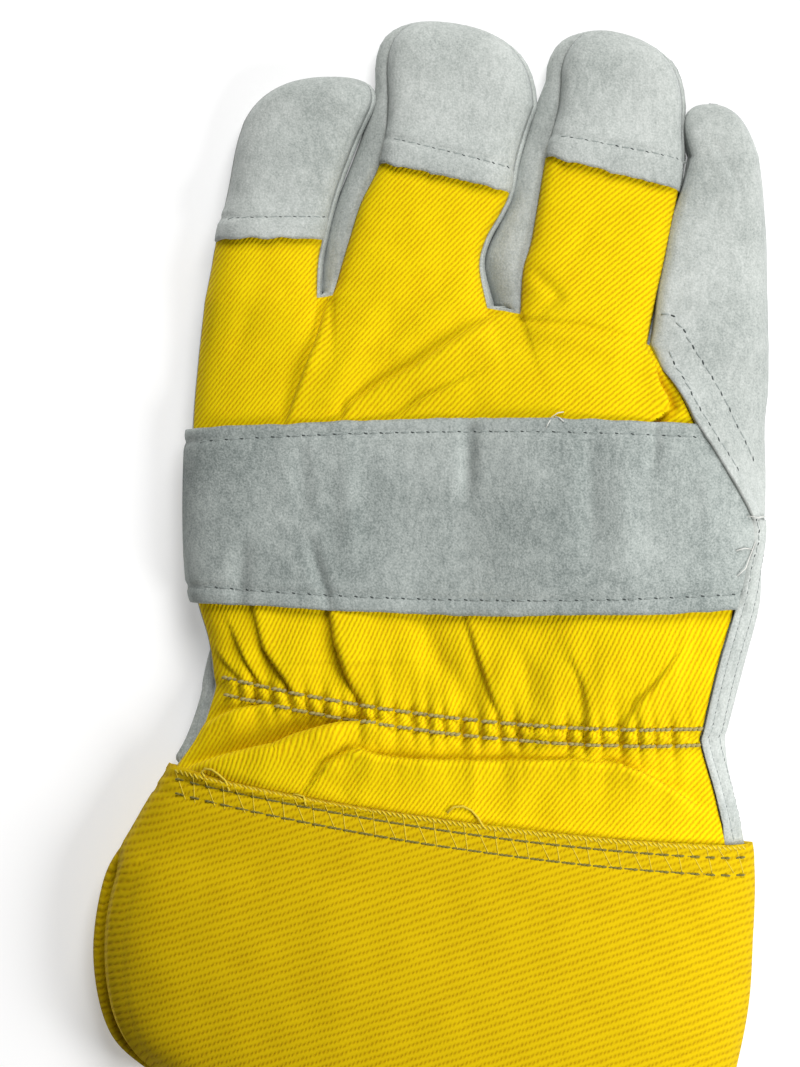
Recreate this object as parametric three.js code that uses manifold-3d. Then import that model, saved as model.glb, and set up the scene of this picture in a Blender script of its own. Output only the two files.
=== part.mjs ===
// A left-hand leather work glove that lies with the back of the hand up.
// Millimetres: +X is the thumb side, +Y points to the fingertips, +Z is up, and the glove rests at z = 0.
//
// The whole glove is first one thin base surface: a lattice of points over the cuff, the hand and the
// four fingers. Each sewn piece is a patch of that lattice, given an outer and an inner skin.

import * as THREE from 'three';
import { mergeVertices } from 'three/addons/utils/BufferGeometryUtils.js';
import Module from 'manifold-3d';

// Driving dimensions
const LEATHER = 1.5; // wall of the split leather
const TWILL = 1.2; // wall of the cotton back
const CANVAS = 1.8; // wall of the cuff
const SEAM_INSET = 0.15; // each piece stops this far from its seam, so two pieces keep a gap
const INNER_INSET = 0.4; // the same at the inner skin, where the walls of a fold come together
const LAP_GAP = 0.3; // between a piece and the one that it laps over
const BINDING_PROUD = 1.2; // how far the folded side binding stands out
const BINDING_WALL = 2.2; // two layers of leather
const PATCH_PROUD = 1.7; // raised edge of the index patch, which is sewn over the cloth
const GLOVE_CENTRE = { x: 0.521, y: -4.878 }; // middle of the drawing below, moved to the origin

const COLOURS = {
  leather: 0xa9b1b1,
  palm: 0x9fa8a8,
  strap: 0x98a3a4,
  twill: 0xf0cf00,
  canvas: 0xe8bd00,
};

// A short table: one object for each row, with the named columns
function table(columns, rows) {
  const names = columns.split(' ');
  return rows.map((row) => Object.fromEntries(names.map((name, i) => [name, row[i]])));
}

// Rows across the glove, from the mouth of the cuff to the line of the finger crotches.
// left is the little-finger edge, strip the left edge of the side binding and of the index patch,
// right the thumb-side edge; bow is how far the middle of the row lies towards the fingers.
const HAND_ROWS = table('name leftX leftY stripX stripY rightX rightY bow edgeZ topZ bottomZ', [
  ['mouth', -65.1, -121.0, 62.0, -141.4, 67.6, -142.2, -2.5, 9.5, 26.0, 2.1],
  ['cuff_low', -75.9, -111.0, 64.8, -126.2, 70.4, -127.0, -2.5, 9.5, 27.0, 2.1],
  ['cuff_wide', -79.8, -93.8, 69.2, -105.2, 74.8, -105.8, -2.7, 9.5, 27.0, 2.1],
  ['cuff_mid', -77.4, -75.8, 70.4, -87.2, 76.0, -87.8, -2.8, 9.5, 25.5, 2.1],
  ['slit_top', -71.8, -65.8, 70.9, -77.8, 76.4, -78.2, -2.9, 9.5, 23.5, 2.1],
  ['tail', -65.3, -54.7, 71.0, -71.5, 76.3, -71.8, -2.9, 9.5, 22.0, 2.1],
  ['cuff_edge', -61.3, -47.8, 70.8, -65.8, 75.8, -66.2, -2.9, 9.5, 21.0, 2.1],
  ['lower_wrist', -55.9, -39.8, 68.2, -54.0, 72.7, -54.2, -3.6, 9.0, 20.0, 1.2],
  ['elastic_low', -52.1, -29.5, 64.6, -41.3, 70.3, -41.5, -4.0, 8.5, 18.5, 0.4],
  ['elastic_top', -52.3, -25.4, 65.0, -37.2, 71.0, -37.4, -4.4, 8.5, 18.5, 0],
  ['heel', -53.5, -17.0, 68.2, -22.8, 74.6, -23.0, -3.5, 8.0, 18.5, 0],
  ['strap_low', -56.2, -7.7, 72.2, -9.2, 78.2, -9.4, -2.6, 7.5, 17.5, 0],
  ['strap_quarter', -57.2, 1.0, 74.2, 0.5, 79.2, 0.5, -1.4, 7.5, 17.0, 0],
  ['strap_mid', -57.6, 13.0, 76.3, 11.9, 79.6, 11.8, 0, 7.0, 16.5, 0],
  ['strap_top', -57.4, 33.6, 62.9, 33.5, 80.6, 33.4, 2.2, 6.5, 16.0, 0],
  ['knuckle', -56.2, 49.0, 58.3, 43.4, 81.4, 43.0, 1.2, 6.0, 15.5, 0],
  ['crotch', -54.5, 64.6, 52.8, 53.5, 81.8, 53.5, 0, 5.5, 14.5, 0],
]);
const ROW = Object.fromEntries(HAND_ROWS.map((row, i) => [row.name, i]));

// The lattice rows of the hand, as places in the table above
const HAND_STEPS = [
  0, 1, 2, 3, 4, 5, 6, 6.5, 7, 7.6, 8, 9, 9.5, 10, 10.5, 11, 12, 13, 13.5, 14, 14.5, 15, 15.5, 16,
];

// Rows along each finger, from its crotch: outline points left and right, and how far in from them the
// upper edges of the side walls lie.
const FINGER_ROW = 'leftX leftY rightX rightY leftIn rightIn';
const FINGERS = table('name columns tipX tipY hemRow rows', [
  ['little', 8, -24.6, 119.3, 2, table(FINGER_ROW, [
    [-54.5, 64.6, -26.6, 65.3, 0, 0.6],
    [-53.0, 72.2, -26.4, 72.7, 0, 0.6],
    [-51.8, 79.0, -25.4, 79.4, 0, 0.5],
    [-49.0, 91.0, -22.5, 91.0, 0, 0.3],
    [-47.0, 101.8, -18.4, 102.2, 0, 0.3],
    [-45.1, 108.2, -15.5, 108.7, 0, 0.3],
  ])],
  ['ring', 12, 5.2, 132.4, 4, table(FINGER_ROW, [
    [-25.9, 66.0, 15.4, 62.6, 2.6, 1.6],
    [-25.7, 72.7, 12.7, 73.0, 4.3, 0.7],
    [-24.4, 80.6, 14.1, 79.7, 5.3, 0.5],
    [-22.0, 89.0, 17.3, 85.4, 5.5, 0.5],
    [-18.2, 98.9, 19.7, 90.5, 6.2, 0.5],
    [-15.3, 106.8, 21.2, 98.6, 4.8, 0.5],
    [-13.2, 112.6, 23.3, 105.8, 3.1, 0.5],
    [-12.6, 117.3, 25.5, 112.0, 2.4, 0.5],
  ])],
  ['middle', 10, 43.9, 130.4, 4, table(FINGER_ROW, [
    [16.3, 62.4, 51.6, 53.9, 5.5, 0.5],
    [13.6, 73.6, 54.0, 64.6, 9.0, 0.5],
    [15.2, 79.9, 55.9, 72.2, 9.2, 0.5],
    [18.7, 87.8, 57.8, 80.9, 7.2, 0.5],
    [22.3, 100.6, 59.9, 91.0, 5.8, 0.3],
    [24.2, 106.9, 60.9, 98.2, 5.5, 0.3],
    [26.4, 112.6, 61.2, 105.4, 4.8, 0.3],
    [28.6, 118.1, 61.3, 112.0, 3.1, 0.3],
  ])],
  ['index', 8, 67.4, 112.7, 0, table(FINGER_ROW, [
    [52.8, 53.5, 81.8, 53.5, 0.5, 0],
    [54.9, 63.4, 81.8, 63.4, 0.5, 0],
    [57.0, 73.0, 81.6, 73.0, 0.5, 0],
    [59.0, 82.6, 81.4, 82.6, 0.5, 0],
    [61.6, 91.6, 80.9, 92.0, 0.5, 0],
    [63.2, 99.6, 79.9, 100.1, 0.5, 0],
  ])],
]);

// Heights of a finger's section
const FINGER_TOP = { base: 14.5, tip: 11.5 }; // crown of the back of the finger
const WALL_TOP = 0.72; // upper edge of a side wall, as a share of the crown
const WALL_FOOT = 2.4; // lower edge of a side wall
const SEAM_HEIGHT = 0.4; // where back and front meet without a side wall, as a share of the crown
const TIP_EDGE = 3.0; // height of the outline round a fingertip
const TIP_STEPS = [0.42, 0.7, 0.88, 0.97, 0.997]; // rows over the round end
const STRIP_TIP_ROWS = 2; // rows of the round end that a side strip still reaches
const TIP_POWER = 2.5; // how square the round end is
const PRESSED = 0.25; // what lies on the table is pressed flat by this much

// The thumb, folded under the palm: from its hole forward to its tip
const THUMB = {
  rootX: 59.5,
  rootY: -11.0,
  tipX: 41.5,
  tipY: 46.0,
  holeAcross: 14.5,
  holeAlong: 16,
  halfWidth: 17.0,
  lift: 9.7, // height of the palm over it
  lifted: 0.72, // share of its length that holds the hand up
};

// Gathers that the hidden elastic pulls into the cloth: reach is how many rows they run on each side of
// it, and they die out over a share of the width at each edge of the hand
const GATHER = { row: 8.6, reachUp: 2.6, reachDown: 2.2, height: 1.15, pitch: 13.2, lean: 0.32, edge: 0.07 };

// Main folds of the back: a line, how wide and how high, negative for a crease
const FOLDS = table('x0 y0 x1 y1 width height', [
  [-22.8, 62.0, -33.6, 37.0, 4.5, -1.3],
  [14.5, 57.0, -14.4, 40.6, 4.5, -1.3],
  [-2.0, 63.0, -10.0, 48.0, 6.0, 0.8],
  [24.0, 57.0, 50.0, 52.0, 4.5, -0.9],
  [-43.2, -9.8, -31.2, -27.0, 4.5, -1.1],
  [-8.4, -11.0, 3.6, -30.0, 4.5, -1.1],
  [60.0, -20.0, 46.0, -31.0, 5.0, -0.9],
  [-51.0, -48.5, -2.4, -36.5, 4.5, -1.6],
  [-47.0, -40.0, -8.0, -34.5, 5.0, 1.3],
  [-12.0, -46.5, 62.0, -52.0, 5.0, -1.2],
]);

const lerp = (a, b, t) => a + (b - a) * t;
const clamp01 = (t) => Math.min(1, Math.max(0, t));
const smooth = (t) => clamp01(t) ** 2 * (3 - 2 * clamp01(t));

// The value of one table column at a place between rows, on a smooth curve through them
function along(rows, column, place) {
  const last = rows.length - 1;
  const i = Math.min(Math.floor(place), last - 1);
  const t = place - i;
  const at = (k) => rows[Math.min(last, Math.max(0, k))][column];
  const slopeIn = (at(i + 1) - at(i - 1)) / (i > 0 ? 2 : 1);
  const slopeOut = (at(i + 2) - at(i)) / (i + 1 < last ? 2 : 1);
  const cubic = 2 * t ** 3 - 3 * t ** 2;
  return at(i) * (1 + cubic) - at(i + 1) * cubic
    + slopeIn * (t ** 3 - 2 * t ** 2 + t) + slopeOut * (t ** 3 - t ** 2);
}

function range(from, to, step = 1) {
  return Array.from({ length: Math.floor((to - from) / step) + 1 }, (_, i) => from + i * step);
}

// 0 at both edges and 1 in the middle, steep at the edges
const dome = (q, power) => Math.sqrt(Math.max(0, 1 - Math.abs(2 * q - 1) ** power));

// Distance from a point to a line between two places, and how far along the line it is
function toLine(x, y, x0, y0, x1, y1) {
  const length2 = (x1 - x0) ** 2 + (y1 - y0) ** 2;
  const share = clamp01(((x - x0) * (x1 - x0) + (y - y0) * (y1 - y0)) / length2);
  return { share, distance: Math.hypot(x - lerp(x0, x1, share), y - lerp(y0, y1, share)) };
}

// The hand rides up over the folded thumb: the palm just clear of it, the back in one gentle rise
const PALM_RISE = { clear: 19, fall: 18 };
const BACK_RISE = { clear: 6, fall: 58 };
const LIFT_END = {
  x: lerp(THUMB.rootX, THUMB.tipX, THUMB.lifted),
  y: lerp(THUMB.rootY, THUMB.tipY, THUMB.lifted),
};
function thumbLift(x, y, { clear, fall }) {
  const { distance } = toLine(x, y, THUMB.rootX, THUMB.rootY, LIFT_END.x, LIFT_END.y);
  return THUMB.lift * (1 - smooth((distance - clear) / fall));
}

function foldRelief(x, y) {
  let height = 0;
  for (const fold of FOLDS) {
    const { share, distance } = toLine(x, y, fold.x0, fold.y0, fold.x1, fold.y1);
    const fade = 0.35 + 0.65 * Math.sin(Math.PI * clamp01(0.1 + 0.8 * share));
    height += fold.height * fade * Math.exp(-((distance / fold.width) ** 2));
  }
  return height;
}

function gatherRelief(x, y, place, across) {
  const reach = place > GATHER.row ? GATHER.reachUp : GATHER.reachDown;
  const alongHand = Math.exp(-(((place - GATHER.row) / reach) ** 2));
  const acrossHand = smooth(across / GATHER.edge) * smooth((1 - across) / GATHER.edge);
  const wave = Math.cos((2 * Math.PI * (x - GATHER.lean * y)) / GATHER.pitch);
  return GATHER.height * alongHand * acrossHand * wave;
}

// The lattice: points by number, and every face of the base surface
const points = [];
const faces = [];

function addPoint(x, y, z) {
  points.push(new THREE.Vector3(x - GLOVE_CENTRE.x, y - GLOVE_CENTRE.y, z));
  return points.length - 1;
}

function addFace(...corners) {
  const face = corners.filter((corner, i) => corner !== corners[(i + 1) % corners.length]);
  faces.push(face);
  return face;
}

// Columns of the upper side, finger by finger with one narrow column between two fingers;
// the lower side has half as many in each finger.
let topCount = 0;
let lowCount = 0;
for (const finger of FINGERS) {
  finger.top0 = topCount;
  finger.low0 = lowCount;
  finger.lowColumns = finger.columns / 2;
  topCount += finger.columns + 1;
  lowCount += finger.lowColumns + 1;
}
const TOP_LAST = topCount - 1;
const LOW_LAST = lowCount - 1;
const [LITTLE, RING, MIDDLE, INDEX] = FINGERS;
const STRIP = INDEX.top0;

// One cross-section of a finger at a place along its table; past the table's end it is the round tip
function fingerSection(finger, place) {
  const last = finger.rows.length - 1;
  const inTable = Math.min(place, last);
  const s = Math.max(0, place - last);
  const at = (column) => along(finger.rows, column, inTable);
  const narrow = (1 - s ** TIP_POWER) ** (1 / TIP_POWER);
  const midX = (at('leftX') + at('rightX')) / 2;
  const midY = (at('leftY') + at('rightY')) / 2;
  const halfX = (at('rightX') - at('leftX')) / 2;
  const halfY = (at('rightY') - at('leftY')) / 2;
  const width = 2 * Math.hypot(halfX, halfY);
  const centreX = lerp(midX, finger.tipX, s);
  const centreY = lerp(midY, finger.tipY, s);
  const flat = Math.sqrt(Math.max(0, 1 - s ** 3));
  const crown = lerp(FINGER_TOP.base, FINGER_TOP.tip, inTable / last);
  const topZ = lerp(TIP_EDGE, crown, flat);
  const hasLeftWall = finger !== LITTLE;
  const hasRightWall = finger !== INDEX;
  const wallTop = lerp(TIP_EDGE, crown * WALL_TOP, flat);
  const wallFoot = lerp(TIP_EDGE, WALL_FOOT, flat);
  const seam = lerp(TIP_EDGE, crown * SEAM_HEIGHT, flat);
  return {
    // A point of the back, at q from 0 on the left to 1 on the right
    top(q) {
      const from = -1 + (2 * at('leftIn')) / width;
      const to = 1 - (2 * at('rightIn')) / width;
      const side = lerp(from, to, q) * narrow;
      const edge = lerp(hasLeftWall ? wallTop : seam, hasRightWall ? wallTop : seam, q);
      const z = edge + (topZ - edge) * dome(q, 3);
      return { x: centreX + side * halfX, y: centreY + side * halfY, z };
    },
    // A point of the front, which lies on the table
    low(q) {
      const side = (2 * q - 1) * narrow;
      const edge = lerp(hasLeftWall ? wallFoot : seam, hasRightWall ? wallFoot : seam, q);
      const z = Math.max(0, edge * (1 - dome(q, 4) * flat) - PRESSED);
      return { x: centreX + side * halfX, y: centreY + side * halfY, z };
    },
  };
}

// Rows of one finger: the table's rows, then the round end
for (const finger of FINGERS) {
  const last = finger.rows.length - 1;
  finger.places = [...finger.rows.keys(), ...TIP_STEPS.map((s) => last + s)];
  finger.stripEnd = last + STRIP_TIP_ROWS;
}

// Where every column meets the crotch line
const crotchTop = [];
const crotchLow = [];
for (const finger of FINGERS) {
  const base = fingerSection(finger, 0);
  for (const c of range(0, finger.columns)) crotchTop[finger.top0 + c] = base.top(c / finger.columns);
  for (const c of range(0, finger.lowColumns)) crotchLow[finger.low0 + c] = base.low(c / finger.lowColumns);
}

// Share of the row's width at which a column runs, and how far its crotch point is off the straight row
function straightShare(list, c, from, to) {
  return (list[c].x - list[from].x) / (list[to].x - list[from].x);
}

const CROTCH_PLACE = HAND_ROWS.length - 1;
const combShare = (place) => smooth((place - (ROW.strap_top - 0.2)) / (CROTCH_PLACE - ROW.strap_top + 0.2));

function rowPoint(place, from, to, share, crotchPoint, crotchShare) {
  const at = (column) => along(HAND_ROWS, column, place);
  const x = lerp(at(`${from}X`), at(`${to}X`), share);
  const across = clamp01((x - at('leftX')) / (at('rightX') - at('leftX')));
  const y = lerp(at(`${from}Y`), at(`${to}Y`), share) + at('bow') * 4 * across * (1 - across);
  const crotch = HAND_ROWS[CROTCH_PLACE];
  const straightX = lerp(crotch[`${from}X`], crotch[`${to}X`], crotchShare);
  const straightY = lerp(crotch[`${from}Y`], crotch[`${to}Y`], crotchShare);
  const comb = combShare(place);
  return {
    x: x + (crotchPoint.x - straightX) * comb,
    y: y + (crotchPoint.y - straightY) * comb,
    across,
    comb,
  };
}

function handTop(c, place) {
  const cloth = c <= STRIP;
  const [from, to] = cloth ? ['left', 'strip'] : ['strip', 'right'];
  const share = cloth ? straightShare(crotchTop, c, 0, STRIP) : (c - STRIP) / INDEX.columns;
  const p = rowPoint(place, from, to, share, crotchTop[c], share);
  const edge = along(HAND_ROWS, 'edgeZ', place);
  const body = edge + (along(HAND_ROWS, 'topZ', place) - edge) * dome(p.across, 3.4);
  const folds = foldRelief(p.x, p.y) * dome(p.across, 6);
  const gathers = gatherRelief(p.x, p.y, place, p.across);
  const relief = (folds + gathers) * (1 - p.comb);
  return { x: p.x, y: p.y, z: lerp(body, crotchTop[c].z, p.comb) + relief };
}

function handLow(c, place) {
  const crotchShare = straightShare(crotchLow, c, 0, LOW_LAST);
  const share = lerp(c / LOW_LAST, crotchShare, smooth(place / CROTCH_PLACE));
  const p = rowPoint(place, 'left', 'right', share, crotchLow[c], crotchShare);
  const edge = along(HAND_ROWS, 'edgeZ', place);
  const floor = Math.max(0, along(HAND_ROWS, 'bottomZ', place));
  const body = Math.max(floor, lerp(edge, floor, dome(p.across, 5)) - PRESSED);
  return { x: p.x, y: p.y, z: lerp(body, crotchLow[c].z, p.comb) };
}

// Points of the hand. The edges of the upper and lower side are one point, except along the slit of the
// cuff, where the front flap stops short of the rear one.
const SLIT_END = HAND_STEPS.indexOf(ROW.slit_top);
const FLAP_SHORT = 3.4;
const FLAP_RAISED = 1.5;
const topIds = [];
const lowIds = [];
HAND_STEPS.forEach((place, r) => {
  const open = 1 - smooth((place - ROW.cuff_mid) / (ROW.slit_top - ROW.cuff_mid));
  topIds[r] = [];
  lowIds[r] = [];
  for (let c = 0; c <= TOP_LAST; c += 1) {
    const p = handTop(c, place);
    const flap = open * (1 - smooth(c / 6));
    const rise = thumbLift(p.x, p.y, BACK_RISE);
    topIds[r][c] = addPoint(p.x + FLAP_SHORT * flap, p.y, p.z + rise + FLAP_RAISED * flap);
  }
  for (let c = 0; c <= LOW_LAST; c += 1) {
    const p = handLow(c, place);
    const flap = open * (1 - smooth(c / 3));
    const shared = (c === 0 && r >= SLIT_END && topIds[r][0]) || (c === LOW_LAST && topIds[r][TOP_LAST]);
    lowIds[r][c] = shared || addPoint(p.x, p.y, p.z + thumbLift(p.x, p.y, PALM_RISE) - FLAP_RAISED * flap);
  }
});
const CROTCH = HAND_STEPS.length - 1;
const stepOf = (name) => HAND_STEPS.indexOf(ROW[name]);

// Points of the fingers; row 0 is the crotch line of the hand
for (const finger of FINGERS) {
  const { columns, lowColumns, top0, low0 } = finger;
  const lastRow = finger.places.length - 1;
  finger.top = [topIds[CROTCH].slice(top0, top0 + columns + 1)];
  finger.low = [lowIds[CROTCH].slice(low0, low0 + lowColumns + 1)];
  for (let r = 1; r <= lastRow; r += 1) {
    const section = fingerSection(finger, finger.places[r]);
    const put = (p, rise) => addPoint(p.x, p.y, p.z + thumbLift(p.x, p.y, rise));
    finger.top[r] = range(0, columns).map((c) => put(section.top(c / columns), BACK_RISE));
    finger.low[r] = range(0, lowColumns).map((c) => put(section.low(c / lowColumns), PALM_RISE));
    if (finger === LITTLE || r > finger.stripEnd) finger.low[r][0] = finger.top[r][0];
    if (finger === INDEX || r > finger.stripEnd) finger.low[r][lowColumns] = finger.top[r][columns];
  }
  for (let c = 0; c <= lowColumns; c += 1) finger.low[lastRow][c] = finger.top[lastRow][2 * c];
}

// Faces of one patch, from its rows of point numbers; up says which way its outside faces
function patch(grid, row0, row1, columns, up) {
  const made = [];
  for (let r = row0; r < row1; r += 1) {
    for (let k = 0; k + 1 < columns.length; k += 1) {
      const a = grid[r][columns[k]];
      const b = grid[r][columns[k + 1]];
      const c = grid[r + 1][columns[k + 1]];
      const d = grid[r + 1][columns[k]];
      made.push(up ? addFace(a, b, c, d) : addFace(d, c, b, a));
    }
  }
  return made;
}

const CLOTH_COLUMNS = range(0, STRIP);
const NARROW_COLUMNS = range(STRIP, TOP_LAST, INDEX.columns / 2);
const INDEX_COLUMNS = range(STRIP, TOP_LAST);
const PALM_COLUMNS = range(0, LOW_LAST - 1);
const WRAP_COLUMNS = [LOW_LAST - 1, LOW_LAST];
const tail = stepOf('tail');
const cuffEdge = stepOf('cuff_edge');
const patchTip = stepOf('strap_mid');

const hand = {
  cuffTop: patch(topIds, 0, tail, CLOTH_COLUMNS, true),
  cuffSide: patch(topIds, 0, tail, NARROW_COLUMNS, true),
  cuffLow: patch(lowIds, 0, tail, PALM_COLUMNS, false),
  cuffWrap: patch(lowIds, 0, tail, WRAP_COLUMNS, false),
  tailTop: patch(topIds, tail, cuffEdge, CLOTH_COLUMNS, true),
  tailSide: patch(topIds, tail, cuffEdge, NARROW_COLUMNS, true),
  tailLow: patch(lowIds, tail, cuffEdge, PALM_COLUMNS, false),
  tailWrap: patch(lowIds, tail, cuffEdge, WRAP_COLUMNS, false),
  wristTop: patch(topIds, cuffEdge, stepOf('strap_low'), CLOTH_COLUMNS, true),
  strapTop: patch(topIds, stepOf('strap_low'), stepOf('strap_top'), CLOTH_COLUMNS, true),
  knuckleTop: patch(topIds, stepOf('strap_top'), CROTCH, CLOTH_COLUMNS, true),
  sideTop: patch(topIds, cuffEdge, patchTip, NARROW_COLUMNS, true),
  sideWrap: patch(lowIds, cuffEdge, patchTip, WRAP_COLUMNS, false),
  indexTop: patch(topIds, patchTip, CROTCH, INDEX_COLUMNS, true),
  indexWrap: patch(lowIds, patchTip, CROTCH, WRAP_COLUMNS, false),
  palm: patch(lowIds, cuffEdge, CROTCH, PALM_COLUMNS, false),
};

const LAP_ROWS = 1; // the cloth runs this many rows on under a fingertip's hem
for (const finger of FINGERS) {
  const lastRow = finger.places.length - 1;
  const topColumns = range(0, finger.columns);
  const lapEnd = finger.hemRow + LAP_ROWS;
  finger.backFaces = patch(finger.top, 0, finger.hemRow, topColumns, true);
  finger.lapFaces = finger === INDEX ? [] : patch(finger.top, finger.hemRow, lapEnd, topColumns, true);
  finger.capFaces = patch(finger.top, finger === INDEX ? 0 : lapEnd, lastRow, topColumns, true);
  const frontEnd = finger === INDEX ? finger.lowColumns - 1 : finger.lowColumns;
  finger.frontFaces = patch(finger.low, 0, lastRow, range(0, frontEnd), false);
}
// The index back wraps round the thumb-side edge. The wrapped edge has half as many columns as the back,
// so one small face joins them at the tip.
INDEX.wrapFaces = patch(INDEX.low, 0, INDEX.places.length - 1, [INDEX.lowColumns - 1, INDEX.lowColumns], false);
INDEX.wrapFaces.push(addFace(...INDEX.top.at(-1).slice(-3)));

// The strip between two fingers: down the right wall of one, across the crotch and up the left wall of the
// next, with STRIP_LEVELS faces from its lower to its upper edge.
const STRIP_LEVELS = 3;
function sideStrip(before, after) {
  const pairs = [];
  for (let r = before.stripEnd; r >= 0; r -= 1) pairs.push([before.low[r].at(-1), before.top[r].at(-1)]);
  for (let r = 0; r <= after.stripEnd; r += 1) pairs.push([after.low[r][0], after.top[r][0]]);
  const columns = pairs.map(([low, top]) => {
    const column = [low];
    for (let k = 1; k < STRIP_LEVELS; k += 1) {
      points.push(points[low].clone().lerp(points[top], k / STRIP_LEVELS));
      column.push(points.length - 1);
    }
    return [...column, top];
  });
  const made = [];
  for (let i = 0; i + 1 < columns.length; i += 1) {
    for (let k = 0; k < STRIP_LEVELS; k += 1) {
      made.push(addFace(columns[i][k], columns[i][k + 1], columns[i + 1][k + 1], columns[i + 1][k]));
    }
  }
  return made;
}
const stripFaces = [sideStrip(LITTLE, RING), sideStrip(RING, MIDDLE), sideStrip(MIDDLE, INDEX)];

// Outward normals at every point of a set of faces
function surfaceNormals(list) {
  const normals = new Map();
  for (const face of list) {
    const diagonal1 = points[face[2]].clone().sub(points[face[0]]);
    const diagonal2 = points[face.at(-1)].clone().sub(points[face[1]]);
    const normal = diagonal1.cross(diagonal2).normalize();
    for (const id of face) {
      if (!normals.has(id)) normals.set(id, new THREE.Vector3());
      normals.get(id).add(normal);
    }
  }
  for (const normal of normals.values()) normal.normalize();
  return normals;
}

// A wall: the patch's outer skin, its inner skin and the edge between them, one closed body.
// skin(id) gives how far each skin lies off the base surface at a point.
function wall(patchFaces, normals, skin) {
  const edges = new Map();
  for (const face of patchFaces) {
    face.forEach((a, i) => {
      const b = face[(i + 1) % face.length];
      edges.set(`${a}_${b}`, { a, b, face });
    });
  }
  const border = [...edges.values()].filter(({ a, b }) => !edges.has(`${b}_${a}`));

  // Each border point moves in along the surface, by the inset from both of its border edges
  const moves = new Map();
  for (const { a, b, face } of border) {
    const centre = new THREE.Vector3();
    for (const id of face) centre.addScaledVector(points[id], 1 / face.length);
    const edge = points[b].clone().sub(points[a]).normalize();
    const inward = centre.sub(points[a]);
    inward.addScaledVector(edge, -inward.dot(edge)).normalize();
    for (const id of [a, b]) moves.set(id, [...(moves.get(id) ?? []), inward]);
  }
  const ids = new Map();
  const positions = [];
  for (const id of new Set(patchFaces.flat())) {
    const move = new THREE.Vector3();
    const ways = moves.get(id);
    if (ways) {
      for (const way of ways) move.add(way);
      const spread = Math.max(0.5, 1 + (ways.length > 1 ? ways[0].dot(ways[1]) : 0));
      move.divideScalar(spread);
    }
    const { outer, inner } = skin(id);
    ids.set(id, positions.length / 3);
    for (const [offset, inset] of [[outer, SEAM_INSET], [inner, INNER_INSET]]) {
      const p = points[id].clone().addScaledVector(move, inset).addScaledVector(normals.get(id), offset);
      positions.push(p.x, p.y, p.z);
    }
  }
  const index = [];
  for (const face of patchFaces) {
    const [a, b, c, d] = face.map((id) => ids.get(id));
    index.push(a, b, c, a + 1, c + 1, b + 1);
    if (d !== undefined) index.push(a, c, d, a + 1, d + 1, c + 1);
  }
  for (const edge of border) {
    const a = ids.get(edge.a);
    const b = ids.get(edge.b);
    index.push(a, a + 1, b + 1, a, b + 1, b);
  }
  const geometry = new THREE.BufferGeometry();
  geometry.setAttribute('position', new THREE.Float32BufferAttribute(positions, 3));
  geometry.setIndex(index);
  return geometry;
}

const handNormals = surfaceNormals(faces);
const level = (outer, thickness) => () => ({ outer, inner: outer - thickness });

// A leather piece that laps over the cloth at one end of it and lies in the base surface further on
function lapping(lapIds, proud) {
  const lapped = new Set(lapIds);
  return (id) => {
    const outer = lapped.has(id) ? proud : 0;
    return { outer, inner: outer - LEATHER };
  };
}

const glove = new THREE.Group();
glove.name = 'work_glove';

function addPiece(name, geometry, color, roughness) {
  geometry.computeVertexNormals();
  const material = new THREE.MeshStandardMaterial({ color, roughness, metalness: 0 });
  const mesh = new THREE.Mesh(geometry, material);
  mesh.name = name;
  glove.add(mesh);
}

// Manifold bodies for the one cut that the palm needs
const wasm = await Module();
wasm.setup();

function toManifold(geometry) {
  const bare = geometry.clone();
  bare.deleteAttribute('normal');
  bare.deleteAttribute('uv');
  const merged = mergeVertices(bare, 1e-5);
  const vertProperties = Float32Array.from(merged.attributes.position.array);
  const triVerts = Uint32Array.from(merged.index.array);
  return new wasm.Manifold(new wasm.Mesh({ numProp: 3, vertProperties, triVerts }));
}

function fromManifold(body) {
  const mesh = body.getMesh();
  const geometry = new THREE.BufferGeometry();
  geometry.setAttribute('position', new THREE.BufferAttribute(mesh.vertProperties, 3));
  geometry.setIndex(new THREE.BufferAttribute(mesh.triVerts, 1));
  return geometry;
}

// Palm: everything on the lower side, with an oval hole for the thumb
const thumbDirection = Math.atan2(THUMB.tipY - THUMB.rootY, THUMB.tipX - THUMB.rootX);
function palmGeometry() {
  const palmFaces = [...hand.tailLow, ...hand.palm, ...FINGERS.flatMap((finger) => finger.frontFaces)];
  const sheet = toManifold(wall(palmFaces, handNormals, level(0, LEATHER)));
  const oval = new THREE.Shape();
  oval.absellipse(0, 0, THUMB.holeAlong, THUMB.holeAcross, 0, 2 * Math.PI, false, 0);
  const depth = 4 * THUMB.lift;
  const punch = new THREE.ExtrudeGeometry(oval, { depth, bevelEnabled: false, curveSegments: 12 });
  punch.rotateZ(thumbDirection);
  punch.translate(THUMB.rootX - GLOVE_CENTRE.x, THUMB.rootY - GLOVE_CENTRE.y, -THUMB.lift);
  return fromManifold(sheet.subtract(toManifold(punch)));
}
addPiece('palm_leather', palmGeometry(), COLOURS.palm, 0.95);

// Back of the hand: one cloth with the backs of three fingers
const clothFingers = [LITTLE, RING, MIDDLE];
const clothFaces = [
  ...hand.tailTop, ...hand.wristTop, ...hand.strapTop, ...hand.knuckleTop,
  ...clothFingers.flatMap((finger) => [...finger.backFaces, ...finger.lapFaces]),
];
addPiece('back_cloth', wall(clothFaces, handNormals, level(0, TWILL)), COLOURS.twill, 0.9);

// Fingertips, whose hems lie on the cloth
for (const finger of clothFingers) {
  const lap = [...finger.top[finger.hemRow], ...finger.top[finger.hemRow + LAP_ROWS]];
  const skin = lapping(lap, LAP_GAP + LEATHER);
  addPiece(`${finger.name}_fingertip`, wall([...finger.lapFaces, ...finger.capFaces], handNormals, skin),
    COLOURS.leather, 0.95);
}

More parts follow.
